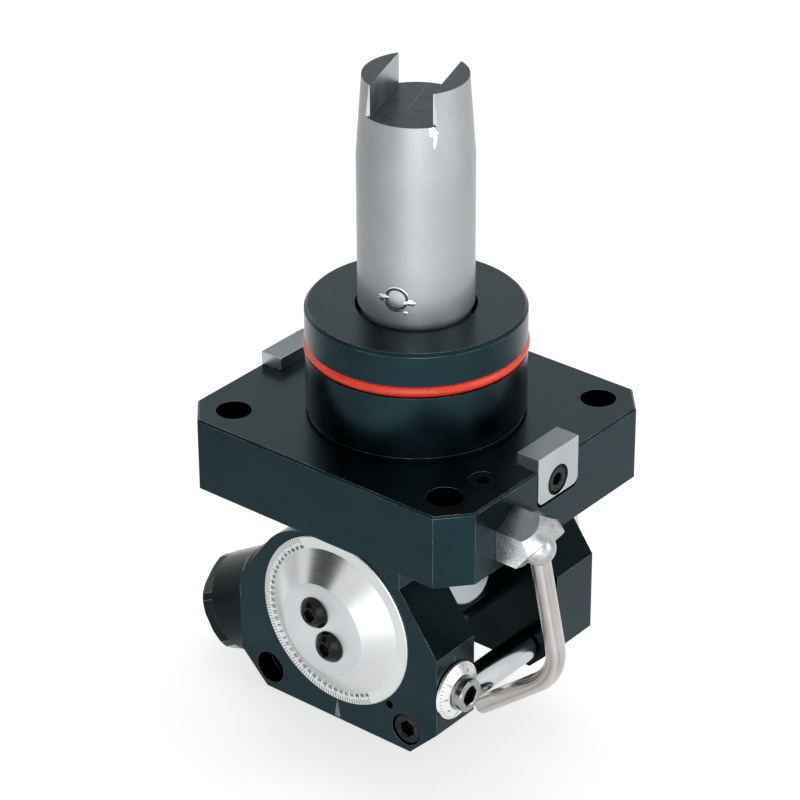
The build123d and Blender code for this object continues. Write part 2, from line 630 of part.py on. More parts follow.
def rear_cover():
    """The round plug on the drum's flat, notched where the drive shaft passes."""
    face = DRUM_FLAT
    outline = [(0, face - 2.0), (ACCESS_D / 2 - RUN_GAP, face - 2.0), (ACCESS_D / 2 - RUN_GAP, face)]
    outline += [(COVER_D / 2, face), (COVER_D / 2, face + COVER_T - 0.3), (COVER_D / 2 - 0.3, face + COVER_T)]
    outline += [(0, face + COVER_T)]
    cavity = HEAD_SIDE.location * extrude(Circle(CAVITY_R), CAVITY_HALF_W, both=True)
    return turned(outline, BACK) - shaft_slot() - cavity


def front_dial():
    """The graduated dial: a flat ring, a cone and the flat with the two screw seats."""
    rim_r = DIAL_D / 2
    ring_r = rim_r - DIAL_RING_W
    flat_r = DIAL_FLAT_D / 2
    outline = [(0, DIAL_BACK), (rim_r, DIAL_BACK), (rim_r, DIAL_FACE - 0.2), (rim_r - 0.2, DIAL_FACE)]
    outline += [(ring_r, DIAL_FACE), (flat_r, DIAL_FACE + DIAL_RISE), (0, DIAL_FACE + DIAL_RISE)]
    dial = turned(outline, FRONT)
    for x, y in trunnion_screw_spots():
        dial -= rod(DIAL_SCREW[0] + SCREW_GAP, 0, BIG, HEAD_SIDE, x, y)
    return dial


def front_trunnion():
    """The journal that carries the head in the front cheek, with the worm wheel's teeth cut on it."""
    collar_end = DIAL_BACK - COLLAR_L
    wheel_low = WORM_Y - WHEEL_HALF_W
    wheel_high = WORM_Y + WHEEL_HALF_W
    journal_r = JOURNAL_D / 2
    outline = [(0, DRUM_HALF_W), (journal_r, DRUM_HALF_W), (journal_r, wheel_low), (WHEEL_TIP_R, wheel_low)]
    outline += [(WHEEL_TIP_R, wheel_high), (journal_r - 0.6, wheel_high), (journal_r - 0.6, collar_end)]
    outline += [(COLLAR_D / 2, collar_end), (COLLAR_D / 2, DIAL_BACK), (0, DIAL_BACK)]
    trunnion = turned(outline, FRONT)
    gap = wheel_gap()
    for tooth in range(WHEEL_TEETH):
        trunnion -= FRONT.location * Rot(0, 0, -90 + 360 / WHEEL_TEETH * tooth) * gap
    for x, y in trunnion_screw_spots():
        trunnion -= rod(DIAL_SCREW[0] + SCREW_GAP, 0, BIG, HEAD_SIDE, x, y)
    return trunnion


def wheel_gap():
    """One gap between the worm wheel's teeth, leaned by the worm's lead angle."""
    lean = tan(radians(20))
    half = pi * WORM_MODULE / 4 + WORM_BACKLASH * WORM_MODULE
    top = 1.5 * WORM_MODULE
    bottom = -1.2 * WORM_MODULE
    corners = [(WHEEL_PITCH_R + bottom, -half - bottom * lean), (WHEEL_PITCH_R + top, -half - top * lean)]
    corners += [(WHEEL_PITCH_R + top, half + top * lean), (WHEEL_PITCH_R + bottom, half + bottom * lean)]
    prism = extrude(make_face(Polyline(*corners, close=True)), WHEEL_HALF_W, both=True)
    lead_angle = degrees(atan(WORM_MODULE / (2 * WORM_PITCH_R)))
    return Pos(0, 0, WORM_Y) * Rot(-lead_angle, 0, 0) * prism


def rear_trunnion():
    """The hollow journal that carries the head in the rear cheek and the idler inside it."""
    bush_r = SHAFT_GEAR_D / 2 + BUSH_WALL
    trunnion = ring(COLLAR_D, 2 * bush_r, DRUM_HALF_W, DIAL_BACK, REAR)
    for x, y in back_screw_spots():
        trunnion -= rod(COVER_SCREW[0] + SCREW_GAP, 0, BIG, HEAD_REAR, x, y)
        trunnion -= rod(COVER_SCREW[1] + SCREW_GAP, DIAL_BACK - COVER_SCREW[2], BIG, HEAD_REAR, x, y)
    for x, y in back_screw_spots(30):
        trunnion -= rod(COVER_SCREW[0], DIAL_BACK - BACK_SCREW_GRIP, BIG, HEAD_REAR, x, y)
    return trunnion


def rear_dial():
    """The plain cover on the rear cheek, with a broad bevel and two screw seats."""
    radius = DIAL_D / 2
    high = FORK_OUTER + BACK_DIAL_T
    outline = [(0, DIAL_BACK), (radius, DIAL_BACK), (radius, high - BACK_DIAL_EDGE)]
    outline += [(radius - BACK_DIAL_EDGE, high), (0, high)]
    dial = turned(outline, REAR)
    for x, y in back_screw_spots(30):
        dial -= rod(COVER_SCREW[0] + SCREW_GAP, 0, BIG, HEAD_REAR, x, y)
    return dial


def add_head():
    """The swivelling head's fixed-together pieces."""
    pieces["swivel_housing"] = head_housing()
    pieces["rear_cover"] = rear_cover()
    pieces["angle_dial"] = front_dial()
    pieces["worm_wheel_trunnion"] = front_trunnion()
    pieces["rear_trunnion"] = rear_trunnion()
    pieces["rear_dial"] = rear_dial()
    seat = DIAL_FACE + DIAL_RISE
    length = seat - DRUM_HALF_W + 4.0
    for number, (x, y) in enumerate(trunnion_screw_spots(), 1):
        pieces[f"dial_screw_{number}"] = button_screw(DIAL_SCREW, length, HEAD_SIDE, x, y, seat)
    seat = DIAL_BACK - COVER_SCREW[2]
    for number, (x, y) in enumerate(back_screw_spots(), 1):
        pieces[f"trunnion_screw_{number}"] = cap_screw(COVER_SCREW, seat - DRUM_HALF_W + 4.0, HEAD_REAR, x, y, seat)
    seat = FORK_OUTER + BACK_DIAL_T
    length = seat - DIAL_BACK + BACK_SCREW_GRIP - 0.5
    for number, (x, y) in enumerate(back_screw_spots(30), 1):
        pieces[f"rear_dial_screw_{number}"] = button_screw(REAR_SCREW, length, HEAD_REAR, x, y, seat)


def add_idler():
    """The bevel idler on the swivel axis with its shaft and bush."""
    shaft_r = SHAFT_GEAR_D / 2
    bush_low = DRUM_HALF_W
    bush_high = DIAL_BACK - 2.0
    hub_end = IDLER_HEIGHT + BEVEL_BACK + 0.8
    pieces["idler_gear"] = bevel_gear(IDLER_CONE, IDLER_TEETH, SHAFT_GEAR_D, SHAFT_GEAR_D + 6, hub_end, 0, REAR)
    shaft = rod(SHAFT_GEAR_D, IDLER_HEIGHT * 0.6, bush_high + 0.4, REAR)
    pieces["idler_shaft"] = shaft + ring(SHAFT_GEAR_D + 2.6, SHAFT_GEAR_D, hub_end, bush_low - SLIDE_GAP, REAR)
    pieces["idler_bush"] = ring(2 * (shaft_r + BUSH_WALL), 2 * (shaft_r + RUN_GAP), bush_low, bush_high, REAR)


def add_spindle():
    """The tool spindle with its bearings, collet and nut."""
    core_r = SPINDLE_D / 2
    nose_r = SPINDLE_NOSE_D / 2
    gear_seat = OPEN_MESH_GAP + PINION_HEIGHT * BEVEL_SHAFT_SHARE
    hub_end = PINION_HEIGHT + BEVEL_BACK + 0.8
    start = OPEN_MESH_GAP + hub_end
    shaft = turned([(0, gear_seat), (SHAFT_GEAR_D / 2, gear_seat), (SHAFT_GEAR_D / 2, start), (core_r, start),
                    (core_r, SNOUT_END + 0.3), (nose_r, SNOUT_END + 0.3), (nose_r, SPINDLE_NOSE_END - 0.6),
                    (nose_r - 0.6, SPINDLE_NOSE_END), (0, SPINDLE_NOSE_END)], NOSE)
    shaft -= collet_cone(0.0)
    shaft -= rod(SPINDLE_BORE_D, start + 2, COLLET_START + 1, NOSE)
    pieces["spindle_shaft"] = shaft
    gear_frame = Plane(origin=SWIVEL - BACK_DIR * OPEN_MESH_GAP, x_dir=NOSE.x_dir, z_dir=NOSE.z_dir)
    pieces["spindle_pinion"] = bevel_gear(PINION_CONE, PINION_TEETH, SHAFT_GEAR_D, SHAFT_GEAR_D + 3, hub_end,
                                          0, gear_frame)
    for name, low in (("rear", BEARING_REAR), ("middle", BEARING_MID), ("front", BEARING_FRONT)):
        outer, inner = bearing(SPINDLE_BEARING, low, NOSE)
        pieces[f"spindle_bearing_{name}_outer"] = outer
        pieces[f"spindle_bearing_{name}_inner"] = inner
    width = SPINDLE_BEARING[2]
    outside = SPINDLE_BEARING[1]
    pieces["bearing_spacer"] = ring(outside, outside - 3.0, BEARING_REAR + width, BEARING_MID, NOSE)
    pieces["spindle_seal_nut"] = ring(outside, SPINDLE_D + 2 * RUN_GAP, BEARING_FRONT + width, SNOUT_END, NOSE)
    pieces["collet"] = collet()
    pieces["collet_nut"] = collet_nut()


def collet_cone(extra):
    """The taper that the collet sits in, from its small end out to the spindle's nose."""
    slope = tan(radians(COLLET_TAPER))
    widest = NUT_END - 5.0
    small = COLLET_D / 2 - (widest - COLLET_START) * slope
    return turned([(0, COLLET_START), (small + extra, COLLET_START), (COLLET_D / 2 + extra, widest), (0, widest)], NOSE)


def collet():
    """A slotted collet: long back taper, short front cone, tool bore and slits."""
    widest = NUT_END - 5.0
    front = NUT_END - 0.6
    slope = tan(radians(COLLET_TAPER))
    small = COLLET_D / 2 - (widest - COLLET_START) * slope
    tip = COLLET_D / 2 - (front - widest) * tan(radians(COLLET_FRONT_CONE))
    body = turned([(TOOL_D / 2, COLLET_START), (small, COLLET_START), (COLLET_D / 2, widest), (tip, front),
                   (TOOL_D / 2, front)], NOSE)
    slit = Pos(COLLET_D / 2, 0, COLLET_START + 12) * Box(COLLET_D, COLLET_SLIT_W, 2 * (NUT_END - COLLET_START))
    slit &= Pos(0, 0, COLLET_START + 6) * Cylinder(BIG, BIG, align=(Align.CENTER, Align.CENTER, Align.MIN))
    for turn in range(COLLET_SLITS):
        body -= NOSE.location * Rot(0, 0, 360 / COLLET_SLITS * (turn + 0.5)) * slit
    return body


def collet_nut():
    """The clamping nut: a round body, a hexagonal front and a conical mouth on the collet."""
    radius = NUT_D / 2
    widest = NUT_END - 5.0
    thread_r = SPINDLE_NOSE_D / 2
    cone = tan(radians(COLLET_FRONT_CONE))
    mouth = COLLET_D / 2 - (NUT_END - widest) * cone
    lip = SPINDLE_NOSE_END + 0.2
    lip_r = COLLET_D / 2 - (lip - widest) * cone
    outline = [(thread_r, NUT_START), (radius - 0.5, NUT_START), (radius, NUT_START + 0.5)]
    outline += [(radius, NUT_END - NUT_EDGE), (radius - NUT_EDGE, NUT_END), (mouth, NUT_END), (lip_r, lip)]
    outline += [(thread_r, lip)]
    nut = turned(outline, NOSE)
    keep = hexagon(NUT_HEX, NUT_END - NUT_HEX_L, NUT_END + 1, NOSE, NUT_TURN)
    keep += rod(NUT_D + 2, NUT_START - 1, NUT_END - NUT_HEX_L, NOSE)
    return nut & keep


def add_worm():
    """The worm across the front cheek and its vernier dial."""
    journal_r = WORM_JOURNAL_D / 2
    inner_end = CHEEK_HALF_X - WORM_BORE_DEPTH + 0.2
    core = turned([(0, inner_end), (WORM_TIP_R, inner_end), (WORM_TIP_R, inner_end + 1.0), (WORM_ROOT_R, inner_end + 1.0),
                   (WORM_ROOT_R, WORM_HALF_L + 2), (WORM_TIP_R, WORM_HALF_L + 2), (WORM_TIP_R, WORM_HALF_L + 14),
                   (journal_r, WORM_HALF_L + 14), (journal_r, CHEEK_HALF_X + 2.0), (0, CHEEK_HALF_X + 2.0)], WORM)
    lean = tan(radians(20))
    half = WORM_LEAD / 4 - WORM_BACKLASH * WORM_MODULE
    low = WORM_ROOT_R - 0.15 - WORM_PITCH_R
    high = WORM_MODULE * 0.9
    path = Helix(WORM_LEAD, 2 * WORM_HALF_L, WORM_PITCH_R, center=(0, 0, -WORM_HALF_L))
    start = path @ 0
    section = Plane(origin=start, x_dir=(start.X, start.Y, 0), z_dir=path % 0)
    corners = [(low, -half + low * lean), (high, -half + high * lean), (high, half - high * lean), (low, half - low * lean)]
    face = section.location * make_face(Polyline(*corners, close=True))
    thread = WORM.location * sweep(face, path=path, is_frenet=True)
    pieces["worm_shaft"] = core + thread
    pieces["vernier_dial"] = vernier_dial(journal_r)


def vernier_dial(journal_r):
    """The small graduated knob of the worm, with a hexagonal socket."""
    base = CHEEK_HALF_X + SLIDE_GAP + 0.2
    rim = base + VERNIER_RIM_T
    cone = rim + VERNIER_CONE_L
    top = CHEEK_HALF_X + VERNIER_L + 0.2
    hub_r = VERNIER_HUB_D / 2
    outline = [(0, base), (VERNIER_D / 2, base), (VERNIER_D / 2, rim), (VERNIER_CONE_D / 2, cone)]
    outline += [(hub_r, cone), (hub_r, top - 0.3), (hub_r - 0.3, top), (0, top)]
    dial = turned(outline, WORM) - rod(2 * journal_r, 0, CHEEK_HALF_X + 2.0, WORM)
    return dial - hexagon(VERNIER_SOCKET, top - VERNIER_SOCKET_DEPTH, top + 1, WORM)


def add_tie_bar():
    """The tie bar at the fork's lower back corner, its two screws and the index grub screw."""
    down = -SWIVEL_DROP - TIE_DROP
    bar = FRONT.location * Pos(TIE_X, -TIE_DROP, -FORK_INNER) * Cylinder(TIE_D / 2, 2 * FORK_INNER,
                                                                        align=(Align.CENTER, Align.CENTER, Align.MIN))
    depth = 9.0
    for side in (-1, 1):
        bar -= Pos(TIE_X, side * (FORK_INNER - depth / 2), down) * Cylinder(TIE_SCREW[0] / 2, depth, rotation=(90, 0, 0))
    pieces["tie_bar"] = bar
    seat = FORK_OUTER - TIE_BORE_DEPTH
    for name, facing in (("front", -1), ("rear", 1)):
        frame = Plane(origin=(TIE_X, facing * seat, down), x_dir=(1, 0, 0), z_dir=(0, facing, 0))
        pieces[f"tie_screw_{name}"] = cap_screw(TIE_SCREW, seat - FORK_INNER + depth - 0.5, frame)
    grub = rod(GRUB_D, FORK_OUTER - GRUB_L, FORK_OUTER - 0.6, FRONT, GRUB_X, -GRUB_DROP)
    frame = Plane(origin=(GRUB_X, -FORK_OUTER + 0.6, -SWIVEL_DROP - GRUB_DROP), x_dir=(1, 0, 0), z_dir=(0, -1, 0))
    pieces["index_grub_screw"] = grub - hexagon(1.3, -1.5, 1, frame)


def outlet_block(ball_centre):
    """The outlet's hexagon, coned at its end and cut off at a slant, with a ball and a hollow stub."""
    corner_r = NOZZLE_HEX / sqrt(3)
    end_r = corner_r - (NOZZLE_REACH - NOZZLE_SHOULDER) * tan(radians(NOZZLE_CONE))
    cone = turned([(0, 0), (corner_r, 0), (corner_r, NOZZLE_SHOULDER), (end_r, NOZZLE_REACH), (0, NOZZLE_REACH)], NOZZLE)
    body = hexagon(NOZZLE_HEX, RUN_GAP, NOZZLE_REACH, NOZZLE, 30) & cone
    beyond = Pos(BIG / 2, 0, 0) * Box(BIG, BIG, BIG)
    body -= Pos(SIDE_X + NOZZLE_CUT_X, NOZZLE_Y, NOZZLE_Z) * Rot(0, NOZZLE_CUT_ANGLE, 0) * beyond
    body += Pos(*ball_centre) * Sphere(NOZZLE_BALL_R)
    body += rod(NOZZLE_STUB_D, -NOZZLE_STUB_L, RUN_GAP + 0.1, NOZZLE)
    return body - rod(NOZZLE_STUB_D / 2, -NOZZLE_STUB_L - 1, NOZZLE_BALL_X, NOZZLE)


def add_coolant():
    """The coolant outlet, its bent pipe and the plug of the feed on the mounting face."""
    ball_centre = Vector(SIDE_X + NOZZLE_BALL_X, NOZZLE_Y, NOZZLE_Z - NOZZLE_BALL_DROP)
    way = (Vector(*PIPE_KNEE) - ball_centre).normalized()
    leaving = Plane(origin=ball_centre, z_dir=way)
    start = NOZZLE_BALL_R - PIPE_GRIP
    path = FilletPolyline(ball_centre + way * start, Vector(*PIPE_KNEE), Vector(*PIPE_TIP), radius=PIPE_BEND_R)
    section = Plane(origin=path @ 0, z_dir=path % 0)
    tube = sweep(section.location * Circle(PIPE_D / 2), path=path)
    hollow = sweep(section.location * Circle(PIPE_BORE_D / 2), path=path)
    body = outlet_block(ball_centre) - rod(PIPE_D, start, NOZZLE_HEX, leaving) - rod(PIPE_BORE_D, -1, start + 1, leaving)
    pieces["coolant_outlet"] = body
    pieces["coolant_pipe"] = tube - hollow
    plug_frame = Plane(origin=(PLUG_X, PLUG_Y, -PLUG_SUNK), x_dir=(1, 0, 0), z_dir=(0, 0, 1))
    plug = rod(PLUG_D, -PLUG_L, 0, plug_frame)
    pieces["coolant_plug"] = plug - hexagon(3.0, -2.5, 1, plug_frame)


def build():
    """Make every piece, then write each one to its own file."""
    pieces["flange_body"] = flange_body()
    add_keys()
    add_seals_and_bearings()
    add_drive_shaft()
    add_head()
    add_idler()
    add_spindle()
    add_worm()
    add_tie_bar()
    add_coolant()
    os.makedirs("parts", exist_ok=True)
    for name, shape in pieces.items():
        shape.label = name
        export_step(shape, f"parts/{name}.step")


build()
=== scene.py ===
"""Looks of a live tool holder with a swivelling head.

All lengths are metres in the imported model's own frame: +Z runs up the drive shaft, the mounting
face lies at z = 0, the swivel axis runs along Y and the dial faces -Y. Profiles and marks are
written in millimetres and turned to metres when they are placed.
"""
from __future__ import annotations

import json
import logging
import math
from dataclasses import dataclass, field
from enum import Enum
from typing import Any, Callable, Sequence

import bmesh
import bpy
import numpy as np
from mathutils import Matrix, Vector

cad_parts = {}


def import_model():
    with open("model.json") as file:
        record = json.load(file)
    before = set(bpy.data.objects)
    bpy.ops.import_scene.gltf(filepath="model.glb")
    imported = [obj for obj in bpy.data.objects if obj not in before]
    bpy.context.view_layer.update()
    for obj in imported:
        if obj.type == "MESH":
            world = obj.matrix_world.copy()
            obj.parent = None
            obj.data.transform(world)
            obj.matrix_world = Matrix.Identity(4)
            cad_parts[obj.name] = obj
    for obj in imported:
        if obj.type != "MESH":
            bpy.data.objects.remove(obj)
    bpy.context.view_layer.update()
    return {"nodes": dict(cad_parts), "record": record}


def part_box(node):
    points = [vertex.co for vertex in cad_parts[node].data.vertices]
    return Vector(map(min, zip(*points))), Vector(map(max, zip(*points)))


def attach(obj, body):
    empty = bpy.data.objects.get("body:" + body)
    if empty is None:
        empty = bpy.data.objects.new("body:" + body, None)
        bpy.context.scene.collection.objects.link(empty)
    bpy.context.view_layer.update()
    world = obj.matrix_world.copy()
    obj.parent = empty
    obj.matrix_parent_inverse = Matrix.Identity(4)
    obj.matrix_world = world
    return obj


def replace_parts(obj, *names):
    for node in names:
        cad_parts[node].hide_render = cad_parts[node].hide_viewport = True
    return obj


MM = 0.001
# The swivel axis's height in millimetres, the spindle's swing below level and the slot's direction
SWIVEL_Z = -47.7
SWING = math.radians(30.0)
SLOT_AZIMUTH = math.radians(109.5)
# Points nearer than this are one, in metres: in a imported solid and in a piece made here
SOLID_WELD = 2e-6
PIECE_WELD = 1e-7
# Packed triangles that turn by less than this belong to one flat face
FLAT_TURN = math.radians(0.4)
# A face points along a direction if its normal's share in it passes this, and squarely if it
# passes the second
FACING_SHARE = 0.9
SQUARE_SHARE = 0.99
# The noise values that carry a finish's smoothest and roughest places, and the least roughness
TONE_LOW = 0.3
TONE_HIGH = 0.7
LEAST_ROUGHNESS = 0.04
# The layer that holds how far round and how far along each corner lies
AROUND = "around"
Triple = tuple[float, float, float]
Row = tuple[float | np.ndarray, float]
log = logging.getLogger("tool_holder")


def linear(code: str) -> tuple[float, float, float, float]:
    """Turns an sRGB hex colour into linear values.

    Args:
        code: Six hex digits after a hash.

    Returns:
        Red, green, blue and an alpha of one.
    """
    digits = code.lstrip("#")
    parts = [int(digits[place:place + 2], 16) / 255.0 for place in (0, 2, 4)]
    curve = [part / 12.92 if part <= 0.04045 else ((part + 0.055) / 1.055) ** 2.4 for part in parts]
    return (curve[0], curve[1], curve[2], 1.0)


def add_node(tree: bpy.types.NodeTree, kind: str, settings: dict[str, Any] | None = None,
             links: dict[str, bpy.types.NodeSocket] | None = None) -> bpy.types.Node:
    """Adds one shader node with its settings and its links.

    Args:
        tree: The node tree that gets the node.
        kind: The node's type name.
        settings: Attribute names, or input names written as "in:Name" or "in:0", and their values.
        links: Input names, or their numbers as text, and the outputs that feed them.

    Returns:
        The new node.
    """
    node = tree.nodes.new(kind)
    for name, value in (settings or {}).items():
        if name.startswith("in:"):
            key = name[3:]
            node.inputs[int(key) if key.isdigit() else key].default_value = value
        else:
            setattr(node, name, value)
    for key, output in (links or {}).items():
        tree.links.new(output, node.inputs[int(key) if key.isdigit() else key])
    return node


@dataclass(frozen=True)
class Axes:
    """A place to draw in: an origin in millimetres and three directions, in the model's frame."""

    origin: Triple
    x_dir: Triple
    y_dir: Triple
    z_dir: Triple

    def place(self, points: np.ndarray) -> np.ndarray:
        """Carries local millimetres into the model in metres: origin + a x + b y + c z.

        Args:
            points: An array whose last axis holds the three local coordinates.

        Returns:
            The points in the model's frame.
        """
        moved = (points[..., 0:1] * np.array(self.x_dir) + points[..., 1:2] * np.array(self.y_dir)
                 + points[..., 2:3] * np.array(self.z_dir))
        return (np.array(self.origin) + moved) * MM

    def matrix(self) -> Matrix:
        """The same as a matrix that carries local metres into the model."""
        rows = [[self.x_dir[i], self.y_dir[i], self.z_dir[i], self.origin[i] * MM]
                for i in range(3)]
        return Matrix(rows + [[0.0, 0.0, 0.0, 1.0]])


SHAFT = Axes((0.0, 0.0, 0.0), (1.0, 0.0, 0.0), (0.0, 1.0, 0.0), (0.0, 0.0, 1.0))
FRONT = Axes((0.0, 0.0, SWIVEL_Z), (1.0, 0.0, 0.0), (0.0, 0.0, 1.0), (0.0, -1.0, 0.0))
REAR = Axes((0.0, 0.0, SWIVEL_Z), (-1.0, 0.0, 0.0), (0.0, 0.0, 1.0), (0.0, 1.0, 0.0))
NOSE = Axes((0.0, 0.0, SWIVEL_Z), (0.0, 1.0, 0.0), (math.sin(SWING), 0.0, -math.cos(SWING)),
            (-math.cos(SWING), 0.0, -math.sin(SWING)))
WORM = Axes((0.0, -24.9, -58.4), (0.0, 1.0, 0.0), (0.0, 0.0, 1.0), (1.0, 0.0, 0.0))
SIDEWAYS = Axes((0.0, 0.0, 0.0), (0.0, 1.0, 0.0), (0.0, 0.0, 1.0), (1.0, 0.0, 0.0))
SLOT = Axes((0.0, 0.0, 0.0), (math.cos(SLOT_AZIMUTH), math.sin(SLOT_AZIMUTH), 0.0),
            (-math.sin(SLOT_AZIMUTH), math.cos(SLOT_AZIMUTH), 0.0), (0.0, 0.0, 1.0))


class Facing(Enum):
    """The way a screw's head faces, as its x, y and z directions."""

    FRONT = ((1.0, 0.0, 0.0), (0.0, 0.0, 1.0), (0.0, -1.0, 0.0))
    REAR = ((-1.0, 0.0, 0.0), (0.0, 0.0, 1.0), (0.0, 1.0, 0.0))
    RIGHT = ((0.0, 1.0, 0.0), (0.0, 0.0, 1.0), (1.0, 0.0, 0.0))
    LEFT = ((0.0, -1.0, 0.0), (0.0, 0.0, 1.0), (-1.0, 0.0, 0.0))


class Lay(Enum):
    """How a surface was finished, which sets the way its fine marks run."""

    BLASTED = "blasted"
    TURNED = "turned"
    DRAWN = "drawn"
    MILLED = "milled"
    SWEPT = "swept"


# How the marks' coordinates are squeezed, so that the marks run long in one direction
STRETCH = {Lay.DRAWN: (1.0, 1.0, 0.04), Lay.MILLED: (0.08, 1.0, 1.0)}
# The same for a bent tube 5 mm wide: its girth in metres, and a little for its whole length
TUBE_STRETCH = (5.0 * math.pi * MM, 1.5 * MM, 1.0)


@dataclass(frozen=True)
class Finish:
    """A material in two near tones, with its name, its slot and its roughness.

    The edges are the noise values between which the dark tone turns into the light one.
    """

    name: str
    slot: str
    dark: str
    light: str
    roughness: float
    edges: tuple[float, float] = field(default=(0.32, 0.68), kw_only=True)

    def build(self) -> bpy.types.Material:
        """Makes the material, or hands back the one already made.

        Returns:
            The finished material.
        """
        known = bpy.data.materials.get(self.name)
        if known:
            return known
        material = bpy.data.materials.new(self.name)
        material.use_nodes = True
        tree = material.node_tree
        tree.nodes.clear()
        shader = self._shader(tree)
        add_node(tree, "ShaderNodeOutputMaterial", links={"Surface": shader.outputs["BSDF"]})
        return material

    def _tones(self, tree: bpy.types.NodeTree, value: bpy.types.NodeSocket) -> bpy.types.NodeSocket:
        """Blends the dark tone into the light one as a value passes from one edge to the other.

        Args:
            tree: The material's node tree.
            value: The value.

        Returns:
            The blended colour.
        """
        ramp = add_node(tree, "ShaderNodeValToRGB", links={"Fac": value})
        tones = (self.dark, self.light)
        for element, edge, tone in zip(ramp.color_ramp.elements, self.edges, tones):
            element.position = edge
            element.color = linear(tone)
        return ramp.outputs["Color"]

    def _shader(self, tree: bpy.types.NodeTree) -> bpy.types.Node:
        """Adds the shader to the tree; each kind of finish has its own."""
        raise NotImplementedError


@dataclass(frozen=True)
class MetalFinish(Finish):
    """A machined surface with fine marks, patches of tone and a matched gloss.

    The marks are noise in coordinates that suit the lay. A wider noise mixes the two tones and
    moves the roughness by the spread. The marks' pitch and depth and the patches' size are
    millimetres. A metallic share below 1 lets some plain light in, and then the ior counts: at 0 it
    is black oxide under oil.
    """

    spread: float
    lay: Lay = Lay.BLASTED
    pitch: float = 0.35
    depth: float = 0.006
    axes: Axes = SHAFT
    metallic: float = 1.0
    ior: float = 1.5
    anisotropic: float = 0.0
    patch: float = 14.0
    fine_share: float = 0.42

    def _shader(self, tree: bpy.types.NodeTree) -> bpy.types.Node:
        """Mixes a broad and a fine noise into one tone, which sets the colour and the roughness.

        Args:
            tree: The material's node tree.

        Returns:
            The shader, bumped by the fine noise. Where it is anisotropic, its highlights spread
            across the way round, which a quarter turn from the layer's own direction gives.
        """
        broad = add_node(tree, "ShaderNodeTexNoise",
                         {"in:Scale": 1.0 / (self.patch * MM), "in:Detail": 3.0,
                          "in:Roughness": 0.55},
                         {"Vector": add_node(tree, "ShaderNodeTexCoord").outputs["Object"]})
        fine = add_node(tree, "ShaderNodeTexNoise",
                        {"in:Scale": 1.0 / (self.pitch * MM), "in:Detail": 4.0,
                         "in:Roughness": 0.62},
                        {"Vector": self._coordinates(tree)})
        tone = add_node(tree, "ShaderNodeMix",
                        {"data_type": "FLOAT", "in:Factor": self.fine_share},
                        {"2": broad.outputs["Fac"], "3": fine.outputs["Fac"]}).outputs[0]
        rough = add_node(tree, "ShaderNodeMapRange",
                         {"in:From Min": TONE_LOW, "in:From Max": TONE_HIGH,
                          "in:To Min": max(LEAST_ROUGHNESS, self.roughness - self.spread),
                          "in:To Max": self.roughness + self.spread}, {"Value": tone})
        bump = add_node(tree, "ShaderNodeBump",
                        {"in:Strength": 1.0, "in:Distance": self.depth * MM},
                        {"Height": fine.outputs["Fac"]})
        settings = {"in:Metallic": self.metallic}
        if self.metallic < 1.0:
            settings["in:IOR"] = self.ior
        if self.anisotropic > 0.0:
            settings["in:Anisotropic"] = self.anisotropic
            settings["in:Anisotropic Rotation"] = 0.25
        shader = add_node(tree, "ShaderNodeBsdfPrincipled", settings,
                          {"Base Color": self._tones(tree, tone),
                           "Roughness": rough.outputs["Result"],
                           "Normal": bump.outputs["Normal"]})
        if self.anisotropic > 0.0:
            tangent = add_node(tree, "ShaderNodeTangent",
                               {"direction_type": "UV_MAP", "uv_map": AROUND})
            tree.links.new(tangent.outputs["Tangent"], shader.inputs["Tangent"])
        return shader

    def _coordinates(self, tree: bpy.types.NodeTree) -> bpy.types.NodeSocket:
        """Works out where the fine marks are read.

        Args:
            tree: The material's node tree.

        Returns:
            The vector output that feeds the fine noise: the place itself for a blasted surface,
            stretched along one direction for a drawn or milled one, radius and height for a turned
            one, and the way round and along for a bent tube.
        """
        if self.lay is Lay.SWEPT:
            sides = add_node(tree, "ShaderNodeUVMap", {"uv_map": AROUND}).outputs["UV"]
            return add_node(tree, "ShaderNodeMapping", {"in:Scale": TUBE_STRETCH},
                            {"Vector": sides}).outputs["Vector"]
        raw = add_node(tree, "ShaderNodeTexCoord").outputs["Object"]
        if self.lay is Lay.BLASTED:
            return raw
        back = self.axes.matrix().inverted()
        moved = add_node(tree, "ShaderNodeMapping",
                         {"vector_type": "POINT", "in:Location": back.to_translation(),
                          "in:Rotation": back.to_euler()}, {"Vector": raw}).outputs["Vector"]
        if self.lay in STRETCH:
            return add_node(tree, "ShaderNodeMapping", {"in:Scale": STRETCH[self.lay]},
                            {"Vector": moved}).outputs["Vector"]
        parts = add_node(tree, "ShaderNodeSeparateXYZ", links={"0": moved})
        flat = add_node(tree, "ShaderNodeCombineXYZ",
                        links={"0": parts.outputs[0], "1": parts.outputs[1]})
        radius = add_node(tree, "ShaderNodeVectorMath", {"operation": "LENGTH"},
                          {"0": flat.outputs[0]})
        return add_node(tree, "ShaderNodeCombineXYZ",
                        links={"0": radius.outputs["Value"], "2": parts.outputs[2]}).outputs[0]


